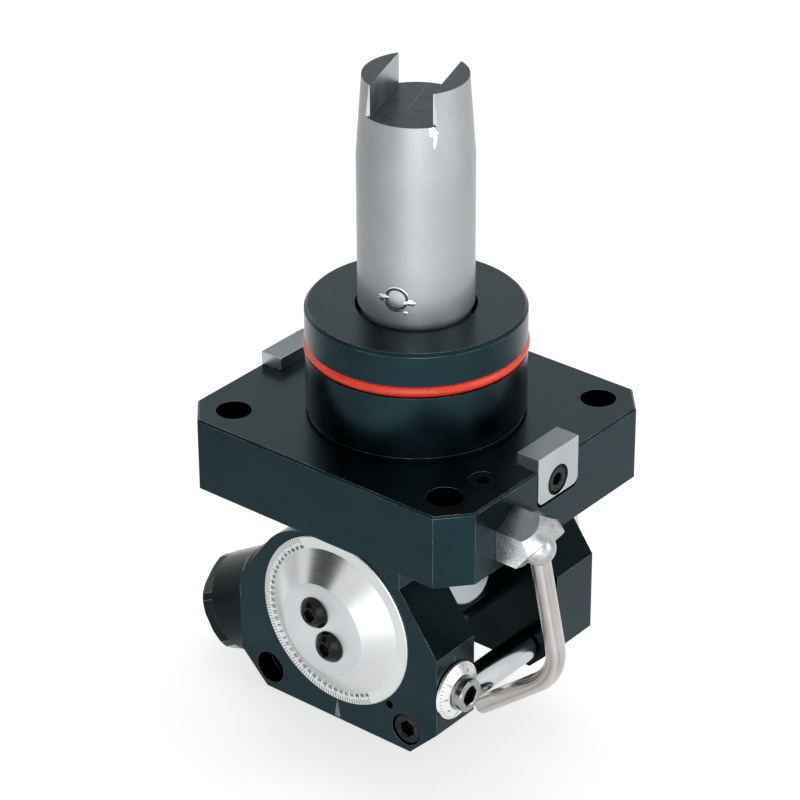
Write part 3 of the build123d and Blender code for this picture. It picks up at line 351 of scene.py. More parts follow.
@dataclass(frozen=True)
class PlainFinish(Finish):
    """Rubber, ink or paint: a dielectric with a faint mottle, whose sizes are millimetres."""

    grain: float = 0.8
    depth: float = 0.01
    edges: tuple[float, float] = field(default=(0.35, 0.65), kw_only=True)

    def _shader(self, tree: bpy.types.NodeTree) -> bpy.types.Node:
        """Mixes the two tones by a noise that also bumps the surface a little.

        Args:
            tree: The material's node tree.

        Returns:
            The shader.
        """
        mottle = add_node(tree, "ShaderNodeTexNoise",
                          {"in:Scale": 1.0 / (self.grain * MM), "in:Detail": 3.0},
                          {"Vector": add_node(tree, "ShaderNodeTexCoord").outputs["Object"]})
        bump = add_node(tree, "ShaderNodeBump",
                        {"in:Strength": 1.0, "in:Distance": self.depth * MM},
                        {"Height": mottle.outputs["Fac"]})
        return add_node(tree, "ShaderNodeBsdfPrincipled", {"in:Roughness": self.roughness},
                        {"Base Color": self._tones(tree, mottle.outputs["Fac"]),
                         "Normal": bump.outputs["Normal"]})


# Black oxide on milled steel under a film of oil: nearly black, with a soft teal-grey gloss
BLACK_OXIDE = MetalFinish("black_oxide_milled", "black_oxide_steel", "#1b2c31", "#213439", 0.26,
                          0.04, pitch=0.5, depth=0.0015)
# The same oxide made blacker as painted shade, inside the fork and on the cheeks' upper slopes
BLACK_OXIDE_PAINTED_SHADE = MetalFinish("black_oxide_painted_shade", "black_oxide_steel", "#0a1316", "#101b1e",
                               0.26, 0.04, pitch=0.5, depth=0.0015)
# The same oxide on a surface turned in a lathe, where faint rings catch the light
BLACK_OXIDE_HEAD = MetalFinish("black_oxide_head", "black_oxide_steel", "#0f1618", "#192224", 0.20,
                               0.05, Lay.TURNED, pitch=0.25, depth=0.003, axes=NOSE)
# Edges lighter than the oxide: rubbed through to grey steel here and there, and a painted edge
# highlight along them
WORN_AND_HIGHLIGHT_EDGE = MetalFinish("worn_and_highlight_oxide_edge", "black_oxide_steel", "#3a474c", "#9aa5a9", 0.34, 0.05,
                        pitch=0.9, patch=6.0, edges=(0.40, 0.62))
# Hardened drive end, ground then lightly blasted: an even satin grey
SHAFT_STEEL = MetalFinish("satin_shaft_steel", "ground_steel", "#9b9ea0", "#adb0b2", 0.40, 0.05,
                          Lay.TURNED, pitch=0.18, depth=0.003, metallic=0.8)
# The slot's milled floor, with wavy cutter marks: darkened as painted shade in the recess
SLOT_FLOOR_SHADE = MetalFinish("milled_slot_floor_painted_shade", "ground_steel", "#191e23", "#434a50", 0.34, 0.10,
                         Lay.MILLED, pitch=0.9, depth=0.02, axes=SLOT, patch=3.0)
# The slot's walls: finer cutter marks, and lighter
SLOT_WALL = MetalFinish("milled_slot_wall", "ground_steel", "#93979a", "#b4b8bb", 0.34, 0.08,
                        Lay.MILLED, pitch=0.5, depth=0.008, axes=SLOT, patch=5.0)
# The tops of the two prongs, with the same cutter marks: darker as painted shade on the level faces
PRONG_TOP_SHADE = MetalFinish("milled_prong_top_painted_shade", "ground_steel", "#2a3034", "#40464a", 0.34, 0.06,
                        Lay.MILLED, pitch=0.5, depth=0.006, axes=SLOT, patch=6.0)
# Bright smooth steel: partly polished by wear, partly painted highlight, on the pin's burrs, the
# sleeve's spots and the outlet's edges
WEAR_AND_HIGHLIGHT_STEEL = MetalFinish("wear_and_highlight_steel", "ground_steel", "#dfe1e2", "#f4f5f5", 0.22, 0.06,
                          pitch=0.4, depth=0.01)
# The prongs' trimmed edges: lighter than the sleeve as a painted highlight
TRIM_STEEL_HIGHLIGHT = MetalFinish("milled_trim_painted_highlight", "ground_steel", "#c3c6c8", "#d2d5d6", 0.30, 0.05,
                         pitch=0.4, depth=0.004)
# Ground key steel: satin, with fine straight marks
KEY_STEEL = MetalFinish("ground_key_steel", "ground_steel", "#a8acaf", "#babec1", 0.34, 0.05,
                        Lay.DRAWN, pitch=0.3, depth=0.002, axes=SIDEWAYS)
# The key's milled top, darker as painted shade on the level face; also the colour of the cutter's
# scratch across the slot's floor
KEY_TOP_SHADE_AND_SCRATCH = MetalFinish("key_top_shade_and_scratch", "ground_steel", "#6c7375", "#80878a", 0.34, 0.05,
                      Lay.MILLED, pitch=0.4, depth=0.004)
# The key's milled ends: lighter as a painted highlight where they catch the light
KEY_END_HIGHLIGHT = MetalFinish("milled_key_end_painted_highlight", "ground_steel", "#bcc4c8", "#ccd4d8", 0.36, 0.05,
                      Lay.MILLED, pitch=0.4, depth=0.004)
# Inner steel parts: polished races and shafts
BRIGHT_STEEL = MetalFinish("bright_inner_steel", "bearing_steel", "#b0b2b4", "#c2c4c6", 0.22, 0.05)
# Ground silver steel bar, smooth enough for clear reflections
BAR_STEEL = MetalFinish("ground_bar_steel", "ground_steel", "#bcbfc1", "#ced1d3", 0.18, 0.04,
                        Lay.TURNED, pitch=0.3, depth=0.002, axes=FRONT)
# Aluminium faced in a lathe: its rings spread each highlight into rays
DIAL_CONE = MetalFinish("turned_dial_cone", "dial_aluminium", "#cccecf", "#dcdede", 0.26, 0.04,
                        Lay.TURNED, pitch=0.16, depth=0.002, axes=FRONT, anisotropic=0.80)
# The same aluminium on flat faces, where the rings are softer
DIAL_FLAT = MetalFinish("turned_dial_flat", "dial_aluminium", "#c2c5c7", "#d0d3d4", 0.34, 0.04,
                        Lay.TURNED, pitch=0.16, depth=0.002, axes=FRONT, anisotropic=0.60)
# The scale's ring, matt from engraving
DIAL_RING = MetalFinish("matt_scale_ring", "dial_aluminium", "#ccd0cf", "#dee1e0", 0.42, 0.06,
                        Lay.TURNED, pitch=0.3, depth=0.004, axes=FRONT, anisotropic=0.3)
# The small vernier knob's graduated face, turned about the worm: pale satin
KNOB_FACE = MetalFinish("turned_knob_face", "dial_aluminium", "#e4e6e5", "#f4f4f3", 0.34, 0.04,
                        Lay.TURNED, pitch=0.14, depth=0.002, axes=WORM, anisotropic=0.5)
# The knob's hub: smoother, and greyer as a painted dark reflection
KNOB_HUB_REFLECTION = MetalFinish("turned_knob_hub_painted_reflection", "dial_aluminium", "#888a8a", "#9fa1a1", 0.16, 0.04,
                       Lay.TURNED, pitch=0.14, depth=0.002, axes=WORM, anisotropic=0.3)
# The knob's pressed hexagon, darkened as painted shade in the recess
KNOB_SOCKET_SHADE = MetalFinish("knob_socket_painted_shade", "dial_aluminium", "#232323", "#4d4b47", 0.40, 0.08,
                          pitch=0.5, depth=0.02, patch=2.0)
# Plain aluminium covers, faced in a lathe: even grey satin
COVER_ALUMINIUM = MetalFinish("faced_cover_aluminium", "dial_aluminium", "#8f979b", "#a2a9ad", 0.34,
                              0.05, Lay.TURNED, pitch=0.3, depth=0.003, axes=NOSE)
# Drawn stainless tube: warm satin, with lighter streaks along it
TUBE_STAINLESS = MetalFinish("drawn_stainless_tube", "stainless_pipe", "#8a837f", "#e6e2df", 0.24,
                             0.06, Lay.SWEPT, pitch=1.8, depth=0.01, metallic=0.9, fine_share=0.8)
# Milled fitting under bright nickel, rough where the cutter left it
FITTING_BRIGHT = MetalFinish("nickel_plated_fitting", "nickel_fitting", "#8c8e8f", "#c6c8c8", 0.30,
                             0.08, Lay.BLASTED, pitch=0.8, depth=0.02, patch=3.0, fine_share=0.55)
# The same nickel on the upper flats, greyer as painted shade and dull
FITTING_UPPER_SHADE = MetalFinish("nickel_fitting_upper_painted_shade", "nickel_fitting", "#66696d", "#808387", 0.32,
                           0.08, Lay.BLASTED, pitch=0.5, depth=0.02, patch=3.0, fine_share=0.6)
# The same nickel on the lower flats, lighter as painted light, with light specks where it is rough
FITTING_LOWER_PAINTED_LIGHT = MetalFinish("speckled_nickel_lower_painted_light", "nickel_fitting", "#a6a9ad", "#fafbfb",
                               0.32, 0.08, Lay.BLASTED, pitch=0.5, depth=0.03, patch=2.5,
                               fine_share=0.7)
# Black socket screws: oil-blackened and glossy
SCREW_BLACK = MetalFinish("oil_black_screw", "black_screw_steel", "#050607", "#101213", 0.12, 0.05,
                          pitch=0.4, depth=0.016, metallic=0.0, ior=1.27, patch=2.0)
# Bush metal, turned: warm yellow-brown
BUSH_BRONZE = MetalFinish("turned_bronze", "bronze", "#9a6b35", "#b07f42", 0.30, 0.05)
# Moulded rubber seal ring: even red with a soft gloss
RED_SEAL = PlainFinish("moulded_red_rubber", "red_rubber", "#dd321c", "#ee4329", 0.32)
# Moulded rubber of the shaft seal: black and matt
BLACK_SEAL = PlainFinish("moulded_black_rubber", "black_rubber", "#131415", "#1b1c1d", 0.55)
# Black paint in the scales' engraving: matt, a little uneven
SCALE_INK = PlainFinish("engraved_black_fill", "dial_aluminium", "#17181a", "#2a2c2e", 0.5)
# The light index mark cut through the oxide
INDEX_MARK = MetalFinish("bare_index_mark", "black_oxide_steel", "#5a6165", "#7f868a", 0.4, 0.05)
# Painted shade in the gap round the pin: dark and dull
PIN_GAP_SHADE = PlainFinish("pin_gap_painted_shade", "ground_steel", "#1e2021", "#3a3c3e", 0.45, grain=0.4)


def unit(vector: np.ndarray) -> np.ndarray:
    """Scales vectors along the last axis to length one."""
    return vector / np.maximum(np.linalg.norm(vector, axis=-1, keepdims=True), 1e-12)


def surface(name: str, grids: Sequence[np.ndarray], finishes: Sequence[Finish], body: str,
            picks: Sequence[int] | None = None, closed: bool = True, sharp: float = 30.0
            ) -> bpy.types.Object:
    """Joins grids of points into one smooth closed mesh that rides on a body.

    Each grid has rows along the profile and columns round it. Quads join neighbouring rows and
    columns, and the last column joins the first if the grid is closed. The layer "around" keeps the
    column as u and the row as v, both from 0 to 1, with the seam at the first column.

    Args:
        name: The piece's name.
        grids: Arrays of shape (rows, columns, 3), in the model's frame.
        finishes: The finishes that the piece's faces choose from.
        body: The body it rides on.
        picks: Which finish each grid takes; all take the first one if it is left out.
        closed: Whether the columns go all the way round.
        sharp: Edges turned by more than this many degrees stay sharp.

    Returns:
        The new object.
    """
    points: list[np.ndarray] = []
    faces: list[np.ndarray] = []
    coords: list[np.ndarray] = []
    chosen: list[np.ndarray] = []
    start = 0
    for number, grid in enumerate(grids):
        rows, columns = grid.shape[0], grid.shape[1]
        steps = columns if closed else columns - 1
        row = np.arange(rows - 1)[:, None]
        column = np.arange(steps)[None, :]
        after = (column + 1) % columns
        quad = np.stack([row * columns + column, row * columns + after, (row + 1) * columns + after,
                         (row + 1) * columns + column], axis=-1).reshape(-1, 4) + start
        u_low = np.broadcast_to(column / steps, (rows - 1, steps))
        v_low = np.broadcast_to(row / (rows - 1), (rows - 1, steps))
        u_high, v_high = u_low + 1.0 / steps, v_low + 1.0 / (rows - 1)
        uv = np.stack([np.stack([u_low, v_low], -1), np.stack([u_high, v_low], -1),
                       np.stack([u_high, v_high], -1), np.stack([u_low, v_high], -1)],
                      axis=-2).reshape(-1, 2)
        points.append(grid.reshape(-1, 3))
        faces.append(quad)
        coords.append(uv)
        chosen.append(np.full(len(quad), picks[number] if picks else 0))
        start += rows * columns
    mesh = bpy.data.meshes.new(name)
    mesh.from_pydata(np.concatenate(points).tolist(), [], np.concatenate(faces).tolist())
    layer = mesh.uv_layers.new(name=AROUND)
    layer.data.foreach_set("uv", np.concatenate(coords).astype(np.float32).ravel())
    mesh.polygons.foreach_set("material_index", np.concatenate(chosen).astype(np.int32))
    close_up(mesh)
    return dress(bpy.data.objects.new(name, mesh), finishes, body, sharp)


def close_up(mesh: bpy.types.Mesh) -> None:
    """Merges points that meet, drops faces without area and turns all faces outwards.

    Args:
        mesh: The mesh, which is changed in place.
    """
    work = bmesh.new()
    work.from_mesh(mesh)
    bmesh.ops.remove_doubles(work, verts=work.verts, dist=PIECE_WELD)
    bmesh.ops.dissolve_degenerate(work, edges=work.edges, dist=PIECE_WELD)
    bmesh.ops.recalc_face_normals(work, faces=work.faces)
    work.to_mesh(mesh)
    work.free()


def dress(piece: bpy.types.Object, finishes: Sequence[Finish], body: str, sharp: float
          ) -> bpy.types.Object:
    """Links a piece, gives it its finishes, shades it smooth and lets it ride.

    Args:
        piece: The object.
        finishes: Its finishes in slot order.
        body: The body it rides on.
        sharp: Edges turned by more than this many degrees stay sharp.

    Returns:
        The same object.
    """
    bpy.context.scene.collection.objects.link(piece)
    for finish in finishes:
        piece.data.materials.append(finish.build())
    piece.data.shade_smooth()
    piece.data.set_sharp_from_angle(angle=math.radians(sharp))
    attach(piece, body)
    log.info("piece %s rides on %s", piece.name, body)
    return piece


def around(columns: int) -> np.ndarray:
    """Evenly spaced angles of a full turn, in radians."""
    return np.linspace(0.0, 2.0 * np.pi, columns, endpoint=False)


def revolve(rows: Sequence[Row], axes: Axes, columns: int = 144,
            centre: tuple[float, float] = (0.0, 0.0)) -> np.ndarray:
    """Carries a profile round an axis: (r cos t, r sin t, h) for each row's radius r and height h.

    Args:
        rows: Radius and height in millimetres; a radius may be an array with one value for each
            column.
        axes: The axes whose z direction is turned about.
        columns: How many steps round.
        centre: Where the axis stands, in millimetres.

    Returns:
        A grid of points in the model's frame.
    """
    angle = around(columns)[None, :]
    radius = np.stack([np.broadcast_to(np.asarray(row[0], float), (columns,)) for row in rows])
    height = np.broadcast_to(np.array([row[1] for row in rows], float)[:, None], radius.shape)
    local = np.stack([centre[0] + radius * np.cos(angle), centre[1] + radius * np.sin(angle),
                      height], axis=-1)
    return axes.place(local)


def hexagon(across: float, columns: int, turn: float = 0.0) -> np.ndarray:
    """Radii of a hexagon at evenly spaced angles: half the width over the cosine of the angle from
    the middle of the nearest side.

    Args:
        across: Width across the flats.
        columns: How many angles.
        turn: Angle of one side's middle, in radians.

    Returns:
        One radius for each column.
    """
    part = np.mod(around(columns) - turn + np.pi / 6, np.pi / 3) - np.pi / 6
    return across / 2 / np.cos(part)


@dataclass
class DressedNode:
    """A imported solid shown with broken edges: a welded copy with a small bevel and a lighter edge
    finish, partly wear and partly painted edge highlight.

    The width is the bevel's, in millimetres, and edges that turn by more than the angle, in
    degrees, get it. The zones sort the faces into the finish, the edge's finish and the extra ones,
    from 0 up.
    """

    node: str
    body: str
    finish: Finish
    edge: Finish | None = None
    width: float = 0.22
    extra: tuple[Finish, ...] = ()
    zones: Callable[[np.ndarray, np.ndarray], np.ndarray] | None = None
    angle: float = 28.0

    def build(self, source: bpy.types.Object) -> bpy.types.Object:
        """Copies the solid's mesh, welds it, joins its flat triangles and breaks its edges.

        Args:
            source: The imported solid's object, which is left as it is.

        Returns:
            The piece that stands for it.
        """
        mesh = source.data.copy()
        mesh.name = self.node + "_dressed"
        mesh.materials.clear()
        work = bmesh.new()
        work.from_mesh(mesh)
        bmesh.ops.remove_doubles(work, verts=work.verts, dist=SOLID_WELD)
        bmesh.ops.dissolve_limit(work, angle_limit=FLAT_TURN, verts=work.verts, edges=work.edges)
        work.to_mesh(mesh)
        work.free()
        for name in ("custom_normal", "sharp_face", "sharp_edge"):
            if mesh.attributes.get(name):
                mesh.attributes.remove(mesh.attributes[name])
        mesh.polygons.foreach_set("material_index", self._picks(mesh))
        piece = bpy.data.objects.new(self.node + "_dressed", mesh)
        dress(piece, [self.finish, self.edge or self.finish, *self.extra], self.body, self.angle)
        bevel = piece.modifiers.new("broken edges", "BEVEL")
        bevel.width = self.width * MM
        bevel.segments = 2
        bevel.limit_method = "ANGLE"
        bevel.angle_limit = math.radians(self.angle)
        bevel.harden_normals = True
        bevel.use_clamp_overlap = True
        if self.edge:
            bevel.material = 1
        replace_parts(piece, self.node)
        return piece

    def _picks(self, mesh: bpy.types.Mesh) -> np.ndarray:
        """Picks a slot for each face from its middle, in millimetres, and its normal.

        Args:
            mesh: The mesh whose faces are sorted.

        Returns:
            The slot's number for each face.
        """
        count = len(mesh.polygons)
        if self.zones is None:
            return np.zeros(count, np.int32)
        middles = np.empty(count * 3, np.float32)
        normals = np.empty(count * 3, np.float32)
        mesh.polygons.foreach_get("center", middles)
        mesh.polygons.foreach_get("normal", normals)
        return self.zones(middles.reshape(-1, 3) / MM, normals.reshape(-1, 3)).astype(np.int32)


@dataclass
class SocketScrew:
    """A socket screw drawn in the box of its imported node: shank, head and a countersunk hexagon.

    Lengths are millimetres: the shank's diameter, the head's height, the hexagon's width and depth,
    the chamfers' edge, the step under the head, a button head's rim, the countersink's depth and
    the drill point's. The crown's flat is a share of the head's radius, and the countersink's mouth
    a share of the hexagon's width. The hexagon is turned by some degrees.
    """

    node: str
    body: str
    facing: Facing
    shank: float
    head_height: float
    socket: float
    depth: float
    button: bool = False
    turn: float = 0.0
    edge: float = 0.4
    step: float = 0.1
    rim: float = 0.35
    crown_flat: float = 0.56
    mouth: float = 0.62
    countersink: float = 0.22
    point: float = 0.3
    columns: int = 72

    def build(self) -> bpy.types.Object:
        """Turns the screw's outline, then carries the top in to the hexagon.

        A button head's crown is an arc of radius c about a centre on the axis, so its height is the
        root of c squared minus r squared, less the centre's drop; a cap head is a cylinder with a
        small chamfer.

        Returns:
            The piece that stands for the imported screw.
        """
        low, high = (np.array(corner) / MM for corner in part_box(self.node))
        z_dir = np.array(self.facing.value[2])
        along = int(np.argmax(np.abs(z_dir)))
        cross = [axis for axis in range(3) if axis != along]
        radius = (high[cross[0]] - low[cross[0]]) / 2
        length = high[along] - low[along] - self.head_height
        seat = (low + high) / 2
        seat[along] = (high if z_dir[along] > 0 else low)[along] - z_dir[along] * self.head_height
        axes = Axes(tuple(seat), *self.facing.value)
        shank, top, edge = self.shank / 2, self.head_height, self.edge
        rows: list[Row] = [(0.0, -length), (shank - edge, -length), (shank, edge - length),
                           (shank, 0.0), (radius - self.step, 0.0), (radius, self.step)]
        if self.button:
            flat = self.crown_flat * radius
            drop = (radius ** 2 + self.rim ** 2 - flat ** 2 - top ** 2) / (2 * (top - self.rim))
            reach = np.linspace(radius, flat, 14)
            rows += list(zip(reach, np.sqrt(flat ** 2 + (top + drop) ** 2 - reach ** 2) - drop))
        else:
            rows += [(radius, top - edge), (radius - edge, top)]
        hollow = hexagon(self.socket, self.columns, math.radians(self.turn))
        rows += [(self.socket * self.mouth, top), (hollow, top - self.countersink),
                 (hollow, top - self.depth), (0.0, top - self.depth - self.point)]
        piece = surface(self.node + "_turned", [revolve(rows, axes, self.columns)], [SCREW_BLACK],
                        self.body)
        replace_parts(piece, self.node)
        return piece


@dataclass(frozen=True)
class Slope:
    """A turned face in its axes: the height runs evenly from one radius to another."""

    first: tuple[float, float]
    last: tuple[float, float]

    @classmethod
    def level(cls, height: float) -> Slope:
        """A flat face, which has the same height at every radius."""
        return cls((0.0, height), (50.0, height))

    def height(self, radius: np.ndarray) -> np.ndarray:
        """The face's height at each radius, in millimetres."""
        share = (radius - self.first[0]) / (self.last[0] - self.first[0])
        return self.first[1] + share * (self.last[1] - self.first[1])


@dataclass
class Engraving:
    """Filled marks on a turned face, gathered into one mesh of thin closed prisms.

    The marks stand as far over the face as they reach under it, and a bold number is drawn that
    much wider on each side, both in millimetres.
    """

    name: str
    body: str
    finish: Finish
    axes: Axes
    face: Slope
    thick: float = 0.02
    bold: float = 0.0
    points: list[np.ndarray] = field(default_factory=list)
    faces: list[list[int]] = field(default_factory=list)
    count: int = 0

    def _add(self, local: np.ndarray, faces: Sequence[Sequence[int]]) -> None:
        """Adds points and the faces between them.

        Args:
            local: The points' x, y and height over the face, in millimetres.
            faces: The numbers of each face's points.
        """
        radius = np.hypot(local[:, 0], local[:, 1])
        laid = np.column_stack([local[:, 0], local[:, 1], self.face.height(radius) + local[:, 2]])
        self.points.append(self.axes.place(laid))
        self.faces += [[index + self.count for index in face] for face in faces]
        self.count += len(local)

    def prism(self, corners: np.ndarray) -> None:
        """Adds one flat mark.

        Args:
            corners: The outline's corners in turn, in millimetres on the face.
        """
        size = len(corners)
        lower = np.column_stack([corners, np.full(size, -self.thick)])
        upper = np.column_stack([corners, np.full(size, self.thick)])
        sides = [[i, (i + 1) % size, size + (i + 1) % size, size + i] for i in range(size)]
        caps = [list(range(size))[::-1], list(range(size, 2 * size))]
        self._add(np.concatenate([lower, upper]), sides + caps)

    def tick(self, angle: float, low: float, high: float, width: float) -> None:
        """Adds a line that points at the axis, between two radii.

        Args:
            angle: Where it stands, in degrees from the x direction.
            low: The inner radius in millimetres.
            high: The outer radius.
            width: The line's width.
        """
        turned = math.radians(angle)
        out = np.array([math.cos(turned), math.sin(turned)])
        side = np.array([-out[1], out[0]]) * width / 2
        self.prism(np.array([out * low - side, out * high - side,
                             out * high + side, out * low + side]))

    def number(self, text: str, angle: float, radius: float, size: float) -> None:
        """Adds a number whose top points away from the axis.

        Args:
            text: The digits.
            angle: Where it stands, in degrees from the x direction.
            radius: How far its middle is from the axis.
            size: The type's size in millimetres.
        """
        curve = bpy.data.curves.new("number", "FONT")
        curve.body = text
        curve.size = size
        curve.align_x = "CENTER"
        curve.align_y = "CENTER"
        curve.extrude = self.thick
        curve.offset = self.bold
        curve.resolution_u = 3
        holder = bpy.data.objects.new("number", curve)
        bpy.context.scene.collection.objects.link(holder)
        ready = holder.evaluated_get(bpy.context.evaluated_depsgraph_get())
        mesh = bpy.data.meshes.new_from_object(ready)
        flat = np.empty(len(mesh.vertices) * 3, np.float32)
        mesh.vertices.foreach_get("co", flat)
        flat = flat.reshape(-1, 3)
        faces = [list(polygon.vertices) for polygon in mesh.polygons]
        bpy.data.objects.remove(holder)
        bpy.data.curves.remove(curve)
        bpy.data.meshes.remove(mesh)
        turned = math.radians(angle)
        out = np.array([math.cos(turned), math.sin(turned)])
        side = np.array([out[1], -out[0]])
        laid = out * (radius + flat[:, 1:2]) + side * flat[:, 0:1]
        self._add(np.column_stack([laid, flat[:, 2]]), faces)

    def build(self) -> bpy.types.Object:
        """Makes one mesh of all the marks.

        Returns:
            The piece.
        """
        mesh = bpy.data.meshes.new(self.name)
        mesh.from_pydata(np.concatenate(self.points).tolist(), [], self.faces)
        close_up(mesh)
        return dress(bpy.data.objects.new(self.name, mesh), [self.finish], self.body, 30.0)


@dataclass(frozen=True)
class Fade:
    """A level that changes smoothly as the dot product with a direction goes through its reach."""

    direction: Triple
    reach: tuple[float, float]
    levels: tuple[float, float]

    def build(self, tree: bpy.types.NodeTree, place: bpy.types.NodeSocket) -> bpy.types.NodeSocket:
        """Adds the nodes that work the level out.

        Args:
            tree: The node tree.
            place: The point's coordinates, or the direction in which a ray of the world runs.

        Returns:
            The level's output.
        """
        along = add_node(tree, "ShaderNodeVectorMath",
                         {"operation": "DOT_PRODUCT", "in:1": self.direction}, {"0": place})
        return add_node(tree, "ShaderNodeMapRange",
                        {"interpolation_type": "SMOOTHSTEP",
                         "in:From Min": self.reach[0], "in:From Max": self.reach[1],
                         "in:To Min": self.levels[0], "in:To Max": self.levels[1]},
                        {"Value": along.outputs["Value"]}).outputs["Result"]


@dataclass(frozen=True)
class SoftBox:
    """A square lamp that faces the origin: its place and its side in metres, its power in watts."""

    name: str
    place: Triple
    size: float
    power: float

    def build(self) -> None:
        """Makes the lamp and turns it towards the origin."""
        data = bpy.data.lights.new(self.name, "AREA")
        data.shape = "SQUARE"
        data.size = self.size
        data.energy = self.power
        lamp = bpy.data.objects.new(self.name, data)
        bpy.context.scene.collection.objects.link(lamp)
        lamp.location = self.place
        lamp.rotation_euler = Vector(self.place).to_track_quat("Z", "Y").to_euler()


# The main light is low on the front right
LAMPS = (SoftBox("front right box", (0.50, -0.62, 0.18), 0.60, 2.6),
         SoftBox("back right box", (0.95, 0.35, 0.30), 0.6, 2.4),
         SoftBox("left box", (-0.95, 0.20, 0.5), 0.6, 1.0),
         SoftBox("top box", (0.0, 0.15, 1.1), 0.7, 3.0))


@dataclass
class Studio:
    """The pale floor, the soft lights and the camera, in metres and radians.

    The camera's focal length is given in pixels of a square frame. The floor glows where it is
    seen: less to the left, by the first fade, and more in front of the part, by the second. The
    world has a dark screen, a disc of directions round one that its azimuth and its lift give,
    which is black up to its core and gone at its rim.
    """

    eye: Triple = (458.19 * MM, -565.81 * MM, 409.39 * MM)
    target: Triple = (-3.165 * MM, -2.593 * MM, 1.171 * MM)
    roll: float = math.radians(-0.2932)
    focal_pixels: float = 3362.75
    frame_pixels: float = 800.0
    floor_height: float = -96.5 * MM
    floor_half: float = 6.0
    floor_left: Fade = Fade((-0.774, -0.633, 0.0), (0.14, 0.27), (1.0, 0.5))
    floor_front: Fade = Fade((0.634, -0.774, 0.0), (0.08, 0.30), (0.62, 1.20))
    screen_azimuth: float = math.radians(-133.0)
    screen_lift: float = math.radians(23.0)
    screen_rim: float = math.radians(23.0)
    screen_core: float = math.radians(14.0)

    def build(self) -> None:
        """Makes the camera, the floor, the world and the lamps."""
        self._camera()
        self._floor()
        self._world()
        for lamp in LAMPS:
            lamp.build()
        bpy.context.scene.view_settings.view_transform = "Standard"

    def _camera(self) -> None:
        """Sets the camera from its place, its target and its roll about the line of sight."""
        data = bpy.data.cameras.new("photo_camera")
        data.sensor_width = 36.0
        data.lens = self.focal_pixels / self.frame_pixels * data.sensor_width
        data.clip_end = 20.0
        camera = bpy.data.objects.new("photo_camera", data)
        bpy.context.scene.collection.objects.link(camera)
        eye, target = Vector(self.eye), Vector(self.target)
        ahead = (target - eye).normalized()
        right = ahead.cross(Vector((0.0, 0.0, 1.0))).normalized()
        above = right.cross(ahead)
        side = right * math.cos(self.roll) + above * math.sin(self.roll)
        top = -right * math.sin(self.roll) + above * math.cos(self.roll)
        rows = [[side[i], top[i], -ahead[i], eye[i]] for i in range(3)]
        camera.matrix_world = Matrix(rows + [[0.0, 0.0, 0.0, 1.0]])
        bpy.context.scene.camera = camera

    def _seen(self, tree: bpy.types.NodeTree) -> bpy.types.NodeSocket:
        """Tells the rays that look at the background from those that light the part.

        Args:
            tree: The node tree.

        Returns:
            One where the camera, a reflection or a refraction looks, and zero elsewhere.
        """
        path = add_node(tree, "ShaderNodeLightPath")
        first = add_node(tree, "ShaderNodeMath", {"operation": "MAXIMUM"},
                         {"0": path.outputs["Is Camera Ray"], "1": path.outputs["Is Glossy Ray"]})
        both = add_node(tree, "ShaderNodeMath", {"operation": "MAXIMUM"},
                        {"0": first.outputs[0], "1": path.outputs["Is Transmission Ray"]})
        return both.outputs[0]

    def _floor(self) -> None:
        """Makes a wide pale plane under the lowest point, lifted towards white where it is seen."""
        half, height = self.floor_half, self.floor_height
        corners = [(-half, -half, height), (half, -half, height), (half, half, height),
                   (-half, half, height)]
        mesh = bpy.data.meshes.new("floor")
        mesh.from_pydata(corners, [], [(0, 1, 2, 3)])
        floor = bpy.data.objects.new("floor", mesh)
        bpy.context.scene.collection.objects.link(floor)
        material = bpy.data.materials.new("pale_floor")
        material.use_nodes = True
        tree = material.node_tree
        tree.nodes.clear()
        matt = add_node(tree, "ShaderNodeBsdfDiffuse", {"in:Color": linear("#c8c8c8")})
        place = add_node(tree, "ShaderNodeTexCoord").outputs["Object"]
        level = add_node(tree, "ShaderNodeMath", {"operation": "MULTIPLY"},
                         {"0": self.floor_left.build(tree, place),
                          "1": self.floor_front.build(tree, place)})
        glow = add_node(tree, "ShaderNodeEmission", {"in:Color": linear("#ffffff")},
                        {"Strength": level.outputs[0]})
        lit = add_node(tree, "ShaderNodeMixShader",
                       links={"0": self._seen(tree), "2": glow.outputs[0]})
        both = add_node(tree, "ShaderNodeAddShader",
                        links={"0": matt.outputs[0], "1": lit.outputs[0]})
        add_node(tree, "ShaderNodeOutputMaterial", links={"Surface": both.outputs[0]})
        mesh.materials.append(material)

    def _world(self) -> None:
        """Makes a soft even room, white where it is seen, with a dark screen on the front left."""
        world = bpy.data.worlds.new("studio")
        bpy.context.scene.world = world
        world.use_nodes = True
        tree = world.node_tree
        tree.nodes.clear()
        flat = math.cos(self.screen_lift)
        middle = (math.cos(self.screen_azimuth) * flat, math.sin(self.screen_azimuth) * flat,
                  math.sin(self.screen_lift))
        screen = Fade(middle, (math.cos(self.screen_rim), math.cos(self.screen_core)), (0.0, 1.0))
        share = screen.build(tree, add_node(tree, "ShaderNodeTexCoord").outputs["Generated"])
        tone = add_node(tree, "ShaderNodeMix",
                        {"data_type": "RGBA", "in:6": linear("#ffffff"), "in:7": linear("#0c0d0e")},
                        {"0": share})
        room = add_node(tree, "ShaderNodeBackground",
                        {"in:Strength": 0.5, "in:Color": linear("#f4f6f8")})
        white = add_node(tree, "ShaderNodeBackground", {"in:Strength": 1.0},
                         {"Color": tone.outputs[2]})
        mix = add_node(tree, "ShaderNodeMixShader",
                       links={"0": self._seen(tree), "1": room.outputs[0], "2": white.outputs[0]})
        add_node(tree, "ShaderNodeOutputWorld", links={"Surface": mix.outputs[0]})


